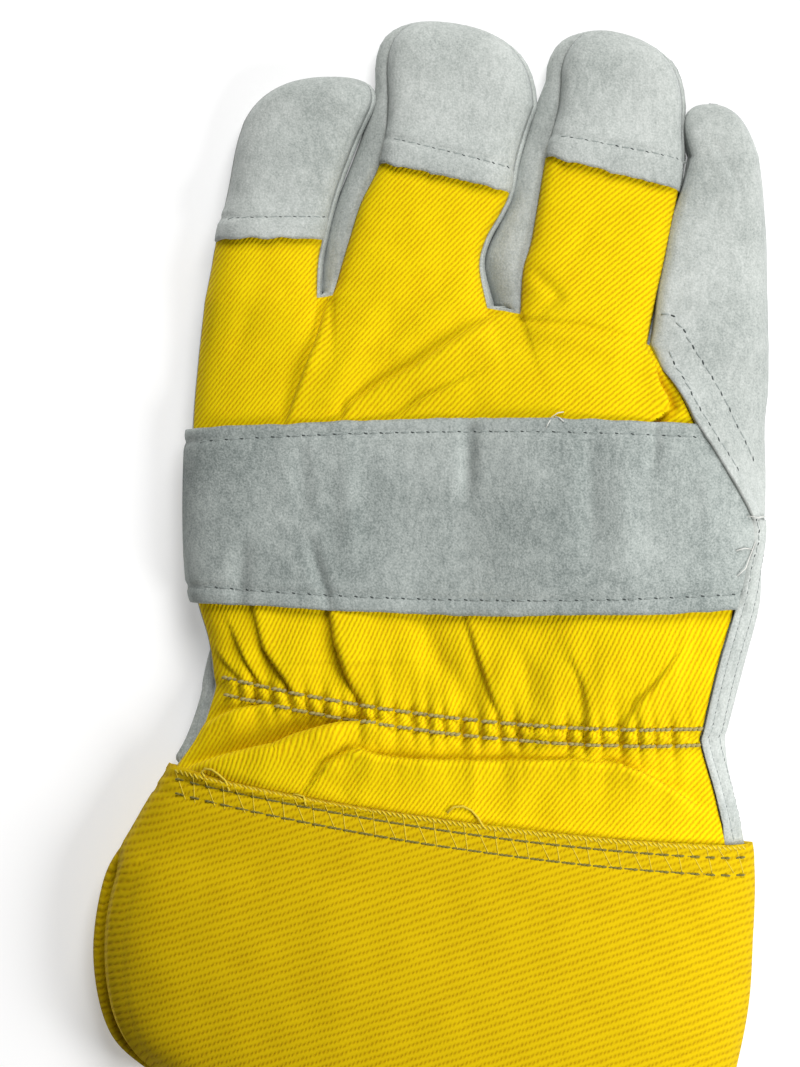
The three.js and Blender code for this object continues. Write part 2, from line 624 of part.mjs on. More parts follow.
// Index back: the whole finger and the patch that tapers down to the side binding
const patchSkin = (id) => {
  const row = topIds.findIndex((list) => list.includes(id));
  const column = row >= 0 ? topIds[row].indexOf(id) - STRIP : -1;
  const raised = row >= 0 && column >= 0 ? PATCH_PROUD * (1 - smooth((column - 1) / 5)) : 0;
  const outer = row >= 0 ? raised * smooth((CROTCH - row) / 2) : 0;
  return { outer, inner: outer - LEATHER };
};
const indexFaces = [...hand.indexTop, ...hand.indexWrap, ...INDEX.capFaces, ...INDEX.wrapFaces];
addPiece('index_back', wall(indexFaces, handNormals, patchSkin), COLOURS.leather, 0.95);

const strapWall = wall(hand.strapTop, handNormals, level(LAP_GAP + LEATHER, LEATHER));
addPiece('knuckle_strap', strapWall, COLOURS.strap, 0.95);

const STRIP_NAMES = ['side_strip_little_ring', 'side_strip_ring_middle', 'side_strip_middle_index'];
STRIP_NAMES.forEach((name, i) => {
  addPiece(name, wall(stripFaces[i], handNormals, level(0, LEATHER)), COLOURS.leather, 0.95);
});

const bindingFaces = [...hand.tailSide, ...hand.tailWrap, ...hand.sideTop, ...hand.sideWrap];
const bindingSkin = (id) => {
  const row = topIds.findIndex((list, r) => list.includes(id) || lowIds[r].includes(id));
  const outer = BINDING_PROUD * smooth((row - cuffEdge) / 2);
  return { outer, inner: Math.min(outer - BINDING_WALL, 0) };
};
addPiece('side_binding', wall(bindingFaces, handNormals, bindingSkin), COLOURS.leather, 0.95);

const cuffFaces = [
  ...hand.cuffTop, ...hand.cuffSide, ...hand.cuffLow, ...hand.cuffWrap,
  ...hand.tailTop, ...hand.tailSide, ...hand.tailLow, ...hand.tailWrap,
];
addPiece('cuff', wall(cuffFaces, handNormals, level(LAP_GAP + CANVAS, CANVAS)), COLOURS.canvas, 0.92);

// Thumb: a tube that leaves the hole downwards, folds forward at the hole's finger side and lies flat
// under the palm. Each ring turns about the crease by its own angle.
const THUMB_AROUND = 16;
const FOLD_ANGLES = [0, 14, 30, 50, 70, 90];
const THUMB_RINGS = [0.15, 0.38, 0.6, 0.76, 0.88, 0.95, 0.985]; // shares of the length in front of the fold
const CREASE_RADIUS = 1.6;
const RIM_PROUD = 1.2; // the thumb's root is this much larger than the hole
const SQUARED = 0.62; // below 1 a section is squarer than an ellipse
const THUMB_TAPER = 2.2; // how late the thumb narrows towards its tip
function thumbGeometry() {
  const forward = new THREE.Vector3(Math.cos(thumbDirection), Math.sin(thumbDirection), 0);
  const across = new THREE.Vector3(-forward.y, forward.x, 0);
  const up = new THREE.Vector3(0, 0, 1);
  const root = new THREE.Vector3(THUMB.rootX - GLOVE_CENTRE.x, THUMB.rootY - GLOVE_CENTRE.y, 0);
  const rim = THUMB.lift - LAP_GAP;
  const rimAlong = THUMB.holeAlong + RIM_PROUD;
  const rimAcross = THUMB.holeAcross + RIM_PROUD;
  const rounded = (value, power) => Math.sign(value) * Math.abs(value) ** power;
  const crease = root.clone().addScaledVector(forward, rimAlong + CREASE_RADIUS).addScaledVector(up, rim);
  const length = Math.hypot(THUMB.tipX - THUMB.rootX, THUMB.tipY - THUMB.rootY) - rimAlong - CREASE_RADIUS;
  const rings = [];
  for (const degrees of FOLD_ANGLES) {
    const angle = (degrees * Math.PI) / 180;
    const reach = Math.min(CREASE_RADIUS + 2 * rimAlong, rim / Math.max(0.01, Math.sin(angle)));
    const width = lerp(rimAcross, THUMB.halfWidth, smooth(degrees / 90));
    const radial = forward.clone().multiplyScalar(-Math.cos(angle)).addScaledVector(up, -Math.sin(angle));
    rings.push(range(0, THUMB_AROUND - 1).map((k) => {
      const turn = (2 * Math.PI * k) / THUMB_AROUND;
      const squareness = lerp(1, SQUARED, smooth(degrees / 90));
      const out = lerp(CREASE_RADIUS, reach, (1 - rounded(Math.cos(turn), squareness)) / 2);
      const sideways = width * rounded(Math.sin(turn), squareness);
      const p = crease.clone().addScaledVector(radial, out).addScaledVector(across, sideways);
      points.push(p);
      return points.length - 1;
    }));
  }
  for (const share of THUMB_RINGS) {
    const shrink = (1 - share ** 3) ** (1 / THUMB_TAPER);
    const top = lerp(TIP_EDGE, rim - CREASE_RADIUS, Math.sqrt(1 - share ** 4));
    const bottom = lerp(TIP_EDGE, 0, Math.sqrt(1 - share ** 6));
    rings.push(range(0, THUMB_AROUND - 1).map((k) => {
      const turn = (2 * Math.PI * k) / THUMB_AROUND;
      const p = crease.clone().addScaledVector(forward, share * length);
      p.addScaledVector(across, THUMB.halfWidth * shrink * rounded(Math.sin(turn), SQUARED));
      p.z = lerp(bottom, top, (1 + rounded(Math.cos(turn), SQUARED)) / 2);
      points.push(p);
      return points.length - 1;
    }));
  }
  const thumbFaces = [];
  for (let r = 0; r + 1 < rings.length; r += 1) {
    for (let k = 0; k < THUMB_AROUND; k += 1) {
      const next = (k + 1) % THUMB_AROUND;
      thumbFaces.push([rings[r][k], rings[r + 1][k], rings[r + 1][next], rings[r][next]]);
    }
  }
  // The end is closed by faces between the two halves of the last ring
  const end = rings.at(-1);
  for (let k = 0; k + 1 < THUMB_AROUND / 2; k += 1) {
    const a = end[k];
    const b = end[k + 1];
    const c = end[THUMB_AROUND - 1 - (k + 1)];
    const d = end[THUMB_AROUND - 1 - k];
    thumbFaces.push([d, c, b, a]);
  }
  return wall(thumbFaces, surfaceNormals(thumbFaces), level(0, LEATHER));
}
addPiece('thumb', thumbGeometry(), COLOURS.leather, 0.95);

export default glove;
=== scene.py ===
# %% [markdown]
# # A leather work glove
#
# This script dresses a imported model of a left-hand work glove: grey split leather on the palm, the
# fingertips and the knuckles, yellow cotton twill on the back, and a stiff yellow canvas cuff. The packed
# solids keep their places and sizes, and each piece made here stands for one of them.

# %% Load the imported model
import math
from functools import lru_cache

import bmesh
import bpy
import numpy as np
from mathutils import Matrix, Vector, noise
from mathutils.bvhtree import BVHTree


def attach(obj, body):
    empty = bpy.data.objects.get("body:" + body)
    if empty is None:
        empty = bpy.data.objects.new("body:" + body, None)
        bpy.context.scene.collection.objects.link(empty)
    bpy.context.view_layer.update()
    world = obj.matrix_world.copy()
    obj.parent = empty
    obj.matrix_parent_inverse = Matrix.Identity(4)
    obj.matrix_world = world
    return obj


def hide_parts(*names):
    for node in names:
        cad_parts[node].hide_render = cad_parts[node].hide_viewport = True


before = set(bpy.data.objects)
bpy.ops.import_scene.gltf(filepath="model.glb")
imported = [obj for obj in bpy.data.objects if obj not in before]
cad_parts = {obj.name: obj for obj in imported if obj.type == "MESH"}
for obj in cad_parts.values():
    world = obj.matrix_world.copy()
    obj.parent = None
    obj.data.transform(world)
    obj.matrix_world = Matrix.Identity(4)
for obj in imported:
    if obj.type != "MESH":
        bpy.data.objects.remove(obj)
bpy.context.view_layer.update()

MM = 0.001

# %% [markdown]
# ## One surface for the whole glove
#
# A glove is sewn from flat pieces that together make one skin. Each piece could be modelled by itself, but
# then its edges would have to be fitted to its neighbours. So the skin comes first: rows across the cuff
# and the hand, and rows across each finger, joined by smooth curves. Every sewn piece is then a grid that is
# laid on its own part of this skin, and neighbours meet exactly at their seams. The tables are in
# millimetres and say what the solid model says.

# %% Small helpers
GLOVE_CENTRE = (0.521, -4.878)  # middle of the drawing, which the frame has at the origin


def table(columns, rows):
    """A short table: one dict for each row, with the named columns."""
    return [dict(zip(columns.split(), row)) for row in rows]


def lerp(a, b, t):
    return a + (b - a) * t


def clamp01(t):
    return min(1.0, max(0.0, t))


def smooth(t):
    t = clamp01(t)
    return t * t * (3 - 2 * t)


def arch(s, power):
    """1 at 0, and steeply down to 0 at 1."""
    return math.sqrt(max(0.0, 1 - s ** power))


def dome(q, power):
    """0 at both edges and 1 in the middle, steep at the edges."""
    return arch(abs(2 * q - 1), power)


def bell(distance, width, power=2):
    """1 at distance 0, and softly down to 0 on both sides."""
    return math.exp(-abs(distance / width) ** power)


def groove(distance, depth, width):
    return -depth * bell(distance, width)


def rough(x, y, layer, scale=1):
    """Smooth unevenness between about -0.5 and 0.5, the same in each run."""
    return noise.noise(Vector((x * scale, y * scale, layer)))


def along(rows, column, place):
    """One column of a table at a place between its rows, on a smooth curve."""
    last = len(rows) - 1
    i = min(int(place), last - 1)
    t = place - i
    before, here, there, after = (rows[min(last, max(0, k))][column] for k in (i - 1, i, i + 1, i + 2))
    slope_in = (there - before) / (2 if i > 0 else 1)
    slope_out = (after - here) / (2 if i + 1 < last else 1)
    cubic = 2 * t ** 3 - 3 * t ** 2
    return (here * (1 + cubic) - there * cubic
            + slope_in * (t ** 3 - 2 * t ** 2 + t) + slope_out * (t ** 3 - t ** 2))


# %% Rows across the cuff and the hand
HAND_ROWS = table("name left_x left_y strip_x strip_y right_x right_y bow edge_z top_z bottom_z", [
    ("mouth", -65.1, -121, 62, -141.4, 67.6, -142.2, -2.5, 9.5, 26, 2.1),
    ("cuff_low", -75.9, -111, 64.8, -126.2, 70.4, -127, -2.5, 9.5, 27, 2.1),
    ("cuff_wide", -79.8, -93.8, 69.2, -105.2, 74.8, -105.8, -2.7, 9.5, 27, 2.1),
    ("cuff_mid", -77.4, -75.8, 70.4, -87.2, 76, -87.8, -2.8, 9.5, 25.5, 2.1),
    ("slit_top", -71.8, -65.8, 70.9, -77.8, 76.4, -78.2, -2.9, 9.5, 23.5, 2.1),
    ("tail", -65.3, -54.7, 71, -71.5, 76.3, -71.8, -2.9, 9.5, 22, 2.1),
    ("cuff_edge", -61.3, -47.8, 70.8, -65.8, 75.8, -66.2, -2.9, 9.5, 21, 2.1),
    ("lower_wrist", -55.9, -39.8, 68.2, -54, 72.7, -54.2, -3.6, 9, 20, 1.2),
    ("elastic_low", -52.1, -29.5, 64.6, -41.3, 70.3, -41.5, -4, 8.5, 18.5, 0.4),
    ("elastic_top", -52.3, -25.4, 65, -37.2, 71, -37.4, -4.4, 8.5, 18.5, 0),
    ("heel", -53.5, -17, 68.2, -22.8, 74.6, -23, -3.5, 8, 18.5, 0),
    ("strap_low", -56.2, -7.7, 72.2, -9.2, 78.2, -9.4, -2.6, 7.5, 17.5, 0),
    ("strap_quarter", -57.2, 1, 74.2, 0.5, 79.2, 0.5, -1.4, 7.5, 17, 0),
    ("strap_mid", -57.6, 13, 75.4, 11.9, 80.4, 11.8, 0, 7, 16.5, 0),
    ("strap_top", -57.4, 33.6, 62.9, 33.5, 80.6, 33.4, 2.2, 6.5, 16, 0),
    ("knuckle", -56.2, 49, 58.3, 43.4, 81.4, 43, 1.2, 6, 15.5, 0),
    ("crotch", -54.5, 64.6, 52.8, 53.5, 81.8, 53.5, 0, 5.5, 14.5, 0),
])
ROW = {row["name"]: i for i, row in enumerate(HAND_ROWS)}
CROTCH = ROW["crotch"]
print("rows from the cuff's mouth to the crotches", len(HAND_ROWS))

# %% Rows along the fingers
FINGER_ROW = "left_x left_y right_x right_y left_in right_in"
FINGERS = {name: dict(columns=columns, low_columns=columns // 2, tip=(tip_x, tip_y), hem_row=hem_row,
                      rows=table(FINGER_ROW, rows), last=len(rows) - 1)
           for name, columns, tip_x, tip_y, hem_row, rows in [
    ("little", 8, -24.6, 119.3, 2, [
        (-54.5, 64.6, -26.6, 65.3, 0, 0.6),
        (-53, 72.2, -26.4, 72.7, 0, 0.6),
        (-51.8, 79, -25.4, 79.4, 0, 0.5),
        (-49, 91, -22.5, 91, 0, 0.3),
        (-47, 101.8, -18.4, 102.2, 0, 0.3),
        (-45.1, 108.2, -15.5, 108.7, 0, 0.3)]),
    ("ring", 12, 5.2, 132.4, 4, [
        (-25.9, 66, 15.4, 62.6, 2.6, 1.6),
        (-25.7, 72.7, 12.7, 73, 4.3, 0.7),
        (-24.4, 80.6, 14.1, 79.7, 5.3, 0.5),
        (-22, 89, 17.3, 85.4, 5.5, 0.5),
        (-18.2, 98.9, 19.7, 90.5, 6.2, 0.5),
        (-15.3, 106.8, 21.2, 98.6, 4.8, 0.5),
        (-13.2, 112.6, 23.3, 105.8, 3.1, 0.5),
        (-12.6, 117.3, 25.5, 112, 2.4, 0.5)]),
    ("middle", 10, 43.9, 130.4, 4, [
        (16.3, 62.4, 51.6, 53.9, 5.5, -0.3),
        (13.6, 73.6, 54, 64.6, 9, -0.3),
        (15.2, 79.9, 55.9, 72.2, 9.2, -0.3),
        (18.7, 87.8, 57.8, 80.9, 7.2, -0.3),
        (22.3, 100.6, 59.9, 91, 5.8, -0.2),
        (24.2, 106.9, 60.9, 98.2, 5.5, 0),
        (26.4, 112.6, 61.2, 105.4, 4.8, 0.3),
        (28.6, 118.1, 61.3, 112, 3.1, 0.3)]),
    ("index", 8, 67.4, 112.7, 0, [
        (52.8, 53.5, 81.8, 53.5, -0.4, 0),
        (54.9, 63.4, 81.8, 63.4, -0.4, 0),
        (57, 73, 81.6, 73, -0.4, 0),
        (59, 82.6, 81.4, 82.6, -0.4, 0),
        (61.6, 91.6, 80.9, 92, 0, 0),
        (63.2, 99.6, 79.9, 100.1, 0.5, 0)]),
]}

top_count = low_count = 0
for finger in FINGERS.values():  # one narrow column lies between two fingers
    finger["top0"], finger["low0"] = top_count, low_count
    top_count += finger["columns"] + 1
    low_count += finger["low_columns"] + 1
TOP_LAST, LOW_LAST = top_count - 1, low_count - 1
AROUND = TOP_LAST + LOW_LAST
STRIP = FINGERS["index"]["top0"]
CLOTH_FINGERS = ("little", "ring", "middle")
print("columns of the back", top_count, "and of the palm", low_count)

# %% Sections of a finger
FINGER_TOP = (14.5, 11.5)  # crown of a finger's back at its base and near its tip
WALL_TOP = 0.72  # upper edge of a side strip, as a share of the crown
WALL_FOOT = 2.4  # lower edge of a side strip
SEAM_HEIGHT = 0.4  # where back and front meet without a strip, as a share of the crown
TIP_EDGE = 3.0  # height of the outline round a fingertip
TIP_POWER = 2.5  # how square the round end is
SEAM_END_POWER = 1.9  # the same on the left of the middle fingertip, where the seam runs straight to its end
PRESSED = 0.25  # what lies on the table is pressed flat


@lru_cache(maxsize=None)
def finger_row(name, place):
    """Everything that is the same all over one cross-section of a finger."""
    finger = FINGERS[name]
    in_table = min(place, finger["last"])
    s = clamp01(place - finger["last"])
    row = {column: along(finger["rows"], column, in_table) for column in FINGER_ROW.split()}
    half = [(row["right_" + axis] - row["left_" + axis]) / 2 for axis in "xy"]
    width = 2 * math.hypot(*half)
    centre = [lerp((row["left_" + axis] + row["right_" + axis]) / 2, tip, s)
              for axis, tip in zip("xy", finger["tip"])]
    flat = arch(s, 3)
    left_power = SEAM_END_POWER if name == "middle" else TIP_POWER
    crown = lerp(*FINGER_TOP, in_table / finger["last"])
    wall_top, wall_foot, seam = (lerp(TIP_EDGE, z, flat)
                                 for z in (crown * WALL_TOP, WALL_FOOT, crown * SEAM_HEIGHT))
    return dict(
        half=half, centre=centre, flat=flat, width=width,
        narrow=[(1 - s ** power) ** (1 / power) for power in (left_power, TIP_POWER)],
        crown=lerp(TIP_EDGE, crown, flat),
        sides=(-1 + 2 * row["left_in"] / width, 1 - 2 * row["right_in"] / width),
        top_edges=(seam if name == "little" else wall_top, seam if name == "index" else wall_top),
        low_edges=(seam if name == "little" else wall_foot, seam if name == "index" else wall_foot),
    )


def beside(row, side, z):
    """A point of the cross-section; side is -1 at the left outline and 1 at the right one."""
    return row["centre"][0] + side * row["half"][0], row["centre"][1] + side * row["half"][1], z


def finger_top(name, q, place):
    row = finger_row(name, place)
    side = lerp(*row["sides"], q)
    edge = lerp(*row["top_edges"], q)
    return beside(row, side * row["narrow"][side > 0], edge + (row["crown"] - edge) * dome(q, 3))


def finger_low(name, q, place):
    row = finger_row(name, place)
    edge = lerp(*row["low_edges"], q)
    z = max(0.0, edge * (1 - dome(q, 4) * row["flat"]) - PRESSED * row["flat"])
    return beside(row, (2 * q - 1) * row["narrow"][q > 0.5], z)


print("widths at the base", {name: round(finger_row(name, 0)["width"], 1) for name in FINGERS})


# %% Columns at the crotches
def column_home(c, start, count):
    """The finger that a column belongs to and its share across it, or the two fingers beside a gap."""
    for name, finger in FINGERS.items():
        first = finger[start]
        if c <= first + finger[count]:
            if c >= first:
                return name, (c - first) / finger[count], None
            return before, 1.0, (name, c - first + 1)
        before = name
    return before, 1.0, None


@lru_cache(maxsize=None)
def crotch_point(c, upper):
    section, keys = (finger_top, ("top0", "columns")) if upper else (finger_low, ("low0", "low_columns"))
    name, q, gap = column_home(c, *keys)
    p = section(name, q, 0)
    if gap is None:
        return p
    return tuple(lerp(a, b, gap[1]) for a, b in zip(p, section(gap[0], 0.0, 0)))


# %% Sections of the hand and the cuff
@lru_cache(maxsize=None)
def hand_row(place):
    row = {key: along(HAND_ROWS, key, place) for key in HAND_ROWS[0] if key != "name"}
    row["comb"] = smooth((place - (ROW["strap_top"] - 0.2)) / (CROTCH - ROW["strap_top"] + 0.2))
    return row


def row_point(place, start, end, share, crotch, crotch_share):
    row, last = hand_row(place), HAND_ROWS[CROTCH]
    x = lerp(row[start + "_x"], row[end + "_x"], share)
    across = clamp01((x - row["left_x"]) / (row["right_x"] - row["left_x"]))
    y = lerp(row[start + "_y"], row[end + "_y"], share) + row["bow"] * 4 * across * (1 - across)
    straight = [lerp(last[start + axis], last[end + axis], crotch_share) for axis in ("_x", "_y")]
    x += (crotch[0] - straight[0]) * row["comb"]
    y += (crotch[1] - straight[1]) * row["comb"]
    return x, y, across, row


FIRST_X, STRIP_X, LOW_FIRST_X, LOW_LAST_X = (
    crotch_point(c, upper)[0] for c, upper in ((0, True), (STRIP, True), (0, False), (LOW_LAST, False)))


CUFF_ROUND, HAND_ROUND, PALM_ROUND = 2.3, 3.4, 5  # a lower power slopes more towards the sides
VALLEY_END = 4  # a higher power ends the valleys between the fingers sooner on the hand


def patch_share(c):
    """The share of the way across the index patch and the side binding."""
    return (c - STRIP) / FINGERS["index"]["columns"]


def hand_top(c, place):
    crotch = crotch_point(c, True)
    if c <= STRIP:
        share = (crotch[0] - FIRST_X) / (STRIP_X - FIRST_X)
        x, y, across, row = row_point(place, "left", "strip", share, crotch, share)
    else:
        share = patch_share(c)
        x, y, across, row = row_point(place, "strip", "right", share, crotch, share)
    roundness = lerp(CUFF_ROUND, HAND_ROUND, smooth((place - ROW["elastic_low"]) / 3))
    body = row["edge_z"] + (row["top_z"] - row["edge_z"]) * dome(across, roundness)
    return x, y, lerp(body, crotch[2], row["comb"] ** VALLEY_END)


def hand_low(c, place):
    crotch = crotch_point(c, False)
    crotch_share = (crotch[0] - LOW_FIRST_X) / (LOW_LAST_X - LOW_FIRST_X)
    share = lerp(c / LOW_LAST, crotch_share, smooth(place / CROTCH))
    x, y, across, row = row_point(place, "left", "right", share, crotch, crotch_share)
    floor = max(0.0, row["bottom_z"])
    body = max(floor, lerp(row["edge_z"], floor, dome(across, PALM_ROUND)) - PRESSED)
    return x, y, lerp(body, crotch[2], row["comb"])


print("middle of the knuckles, before the lift", [round(v, 1) for v in hand_top(STRIP // 2, ROW["knuckle"])])

# %% [markdown]
# ### The thumb below
#
# The thumb is folded under the palm, so the hand lies on it and is about a centimetre higher there. Each
# piece could be lifted by itself, but then the seams would part. So one rule lifts every point by its
# distance from the thumb's middle line, and it fades faster on the palm than on the back.

# %% The folded thumb lifts the hand
THUMB = dict(root=(59.5, -11), tip=(41.5, 46), hole_across=14.5, hole_along=16, half_width=17, lift=9.7)
LIFTED_PART = 0.72  # share of the thumb that lies under the lifted part of the hand
UNDER_RISE = dict(clear=19, fall=18)
BACK_RISE = dict(clear=6, fall=58)


def to_line(x, y, x0, y0, x1, y1):
    """How far along a line a point is, and its distance, positive on the line's left."""
    dx, dy = x1 - x0, y1 - y0
    share = clamp01(((x - x0) * dx + (y - y0) * dy) / (dx * dx + dy * dy))
    off_x, off_y = x - lerp(x0, x1, share), y - lerp(y0, y1, share)
    side = 1 if dx * off_y - dy * off_x >= 0 else -1
    return share, side * math.hypot(off_x, off_y)


def thumb_lift(x, y, clear, fall):
    end = [lerp(a, b, LIFTED_PART) for a, b in zip(THUMB["root"], THUMB["tip"])]
    distance = abs(to_line(x, y, *THUMB["root"], *end)[1])
    return THUMB["lift"] * (1 - smooth((distance - clear) / fall))


def lifted(point, rise):
    x, y, z = point
    return x, y, z + thumb_lift(x, y, **rise)


print("lift over the root of the thumb", thumb_lift(*THUMB["root"], **BACK_RISE), "mm")

# %% [markdown]
# ## Gathers and folds
#
# An elastic tape, sewn flat and then let go, puckers the cloth between its two rows of stitches, and long
# soft folds run from each side of it. Where cloth has more length than it needs it also lies over itself,
# with a raised lip on one side and a deep shadow on the other. A cloth simulation makes such folds, but
# never the ones of this glove. So each fold is a line in a table, with a width, a height and a form.

# %% The table of folds
CREASE, RIDGE, LIP = "crease", "ridge", "lip"
FOLDS = [  # form, width, height, then the points of its line; a lip stands up on the right of its line
    # between the strap and the elastic
    (LIP, 2.4, 1.5, [(-45.8, -26.2), (-52.6, -18.2)]),
    (LIP, 2.2, 1.6, [(-40.3, -28.2), (-43.6, -22.3), (-47.5, -14.8)]),
    (LIP, 3.4, 2.3, [(-32, -31), (-35, -25.2), (-39.4, -18.7), (-42.2, -9.5)]),
    (LIP, 5, 2.9, [(-16, -33.4), (-19.4, -25.2), (-22.3, -17), (-24, -7.5)]),
    (CREASE, 2.6, 0.7, [(-8.5, -31), (-9.5, -24), (-8, -16)]),
    (CREASE, 3.2, 1.3, [(10, -34.5), (6.6, -27.8), (1.4, -20.9), (-3.4, -10)]),
    (LIP, 3.6, 1.3, [(16.4, -35), (13.2, -25), (9, -12.5)]),
    (CREASE, 2.6, 0.8, [(26.5, -36), (24, -27), (18.5, -16)]),
    (LIP, 3.6, 0.6, [(38, -37), (36.5, -28), (31.5, -16)]),
    (LIP, 3.4, 1.3, [(46, -37), (49.6, -32), (54, -27.5), (57.6, -22)]),
    (RIDGE, 1.6, 0.6, [(61.7, -11), (59.5, -22), (57.5, -31)]),
    # between the elastic and the cuff
    (LIP, 4.6, 3.6, [(-64, -54), (-59.6, -45.4), (-56.9, -40.9), (-53.8, -38), (-49.4, -35.6), (-45.4, -34.2),
                     (-41, -33), (-35, -32.6)]),
    (LIP, 6, 6.2, [(-64, -51.5), (-58, -48.6), (-54.2, -47.4), (-49.4, -46.2), (-43.2, -44.9), (-36.7, -43.6),
                   (-32.4, -41.8), (-25.9, -39.6), (-21.6, -38), (-17.5, -37.3), (-9, -36.4), (-3, -37.2)]),
    (LIP, 3.8, 3.6, [(-26, -49), (-24, -46.8), (-17.5, -43.9), (-13.2, -45.4), (-8.9, -46.3), (-4.6, -46.6),
                     (4.8, -46.8), (18, -46.8), (34, -46.2), (44, -47.6)]),
    (LIP, 3.2, 2.6, [(39, -45.2), (50, -49), (57.6, -53.2), (66, -58.6)]),
    (CREASE, 1.8, 0.8, [(-3, -36.8), (-1, -41.5)]),
    (CREASE, 1.8, 0.7, [(20, -38.5), (23.5, -43.5)]),
    # between the strap and the fingers
    (LIP, 4, 2.1, [(-35, 33), (-30.2, 45.6), (-26.9, 54.2), (-24.4, 64)]),
    (LIP, 4.4, 2, [(-22, 33), (-19.2, 39), (-12.2, 43.4), (-3.1, 48.2), (5.5, 54.2), (15, 60.2)]),
    (RIDGE, 3.6, 1.4, [(-16, 58), (-20.5, 48), (-24.5, 38)]),
    (RIDGE, 3.4, 1.2, [(8, 66), (1, 59.5), (-7.5, 54), (-15, 51)]),
    (LIP, 3.6, 1.2, [(-9, 35), (-2, 40), (8, 45)]),
    (CREASE, 1, 1, [(16.8, 60.2), (26.2, 59), (37.2, 57.6), (45.1, 55.7), (50.4, 54.2)]),
    (RIDGE, 2.2, 0.5, [(20, 57.5), (34, 55), (46, 51.5)]),
    (CREASE, 1.6, 1, [(24, 72), (30.5, 65), (25.5, 61)]),
    (LIP, 1.2, 1.8, [(51.8, 52), (53.1, 48.5), (53.8, 44.6), (55.6, 41), (56.4, 38.7), (54.4, 36.4),
                     (52, 34.6)]),
    (CREASE, 1, 2.2, [(53.4, 47), (54.8, 43.6), (56.8, 40.6), (57.6, 38.2), (55.6, 35.6), (53.4, 34)]),
    (RIDGE, 1.6, 0.9, [(56, 48), (59.6, 42), (60.8, 37.5)]),
    (CREASE, 2.4, 0.7, [(-43, 63), (-47, 52)]),
    (CREASE, 2.8, 0.7, [(13, 76), (6, 71), (-4, 66.5)]),
    (CREASE, 2.4, 0.5, [(40, 84), (33, 74)]),
]
INDEX_FOLDS = [
    (CREASE, 0.8, 0.45, [(66.8, 104.6), (69.2, 101), (73, 95.4), (74.2, 91.2), (74.6, 87)]),
    (RIDGE, 2.4, 0.4, [(70, 97), (72.4, 91), (72.8, 85)]),
    (CREASE, 1.2, 0.35, [(74.6, 80), (76.4, 74), (75.4, 69)]),
]
STRAP_FOLDS = [
    (CREASE, 1.3, 1.3, [(-28.6, 7), (-27.6, 1.7), (-25, -5.3), (-23.6, -10.5)]),
    (CREASE, 2.2, 1.3, [(-44.5, 6), (-45.8, -9)]),
    (CREASE, 2.6, 1.1, [(-31, 30), (-30, 14)]),
    (RIDGE, 2.8, 1, [(-20, 30), (-19, 2)]),
    (CREASE, 2, 1.6, [(9.4, 35), (9, 18)]),
    (CREASE, 2.6, 1.4, [(37.7, 33), (37.9, 4)]),
    (RIDGE, 3.2, 1, [(45.5, 30), (46, 2)]),
    (CREASE, 1.6, 1.3, [(53.3, 35), (52.4, 23)]),
    (RIDGE, 2.2, 1.2, [(65, 24), (65.5, 10)]),
]
print("folds", len(FOLDS), "in the cloth", len(STRAP_FOLDS), "in the strap", len(INDEX_FOLDS), "in the index")
OVERHANG = 0.8  # how far a lip leans over its hollow, as a share of its height
LIP_EDGE = 0.5  # how wide the step from a lip to its hollow is, as a share of the fold


def fold_form(form, s):
    """The height of a fold at s widths from its line."""
    if form == LIP:
        lip, hollow = 0.8 * math.exp(min(0.0, s) / 1.7), -0.85 * math.exp(-max(0.0, s))
        return lerp(lip, hollow, smooth(s / LIP_EDGE + 0.5))
    return (-1 if form == CREASE else 1) * bell(s, 1)


def fold_move(x, y, folds=FOLDS, reach=14):
    """How far all the folds move one place: up, and at a lip also over the hollow beside it."""
    move = Vector((0, 0, 0))
    for form, width, tall, line in folds:
        if not all(min(spots) - reach < here < max(spots) + reach for here, spots in zip((x, y), zip(*line))):
            continue
        hits = [(*to_line(x, y, *start, *end), leg) for leg, (start, end) in enumerate(zip(line, line[1:]))]
        share, off, leg = min(hits, key=lambda hit: abs(hit[1]))
        tall *= math.sin(math.pi * clamp01(0.06 + 0.88 * (leg + share) / len(hits))) ** 0.6
        move.z += tall * fold_form(form, off / width)
        if form == LIP:
            (x0, y0), (x1, y1) = line[leg:leg + 2]
            lean = (1 - smooth(off / width / LIP_EDGE + 0.5)) * math.exp(min(0.0, off) / 1.8)
            move += Vector((y0 - y1, x1 - x0, 0)).normalized() * tall * OVERHANG * lean
    return move


# %% Puckers between the two elastic rows, and soft waves away from them
PUCKER_PITCH = 4.1
ROW_GAP = 4.1  # between the two elastic rows
WAVE_PITCH = 12.6  # of the broad waves that run out of the puckers
ELASTIC = (ROW["elastic_low"] + ROW["elastic_top"]) / 2


def pucker_phase(x, y):
    return (x + 1.3 * rough(x * 0.09, y * 0.03, 3) + 0.1 * y) / PUCKER_PITCH


def pucker_relief(x, y, place, across):
    sides = smooth(across * 16) * smooth((1 - across) * 26 - 1.3)
    puff = abs(math.sin(math.pi * pucker_phase(x, y))) ** 0.7 - 0.6
    tight, loose = bell(place - ELASTIC, 0.68, 4), bell(place - ELASTIC, 1.2)
    swing = math.cos(2 * math.pi * (x - 0.3 * y) / WAVE_PITCH + 2.2 * rough(x, y, 8, 0.05))
    rows = sum(bell((place - ROW[row]) * ROW_GAP, 0.7) for row in ("elastic_low", "elastic_top"))
    wide = bell(place - ELASTIC, 1.7) * (1 - strap_cover(place))
    return sides * (tight * (0.5 + 2.2 * puff) + 0.5 * puff * loose + 0.7 * swing * wide - 0.7 * rows)


def soft_relief(x, y):
    """Broad unevenness, and a finer one on top of it."""
    return 0.55 * rough(x, y, 1, 0.055) + 0.2 * rough(x, y, 5, 0.17)


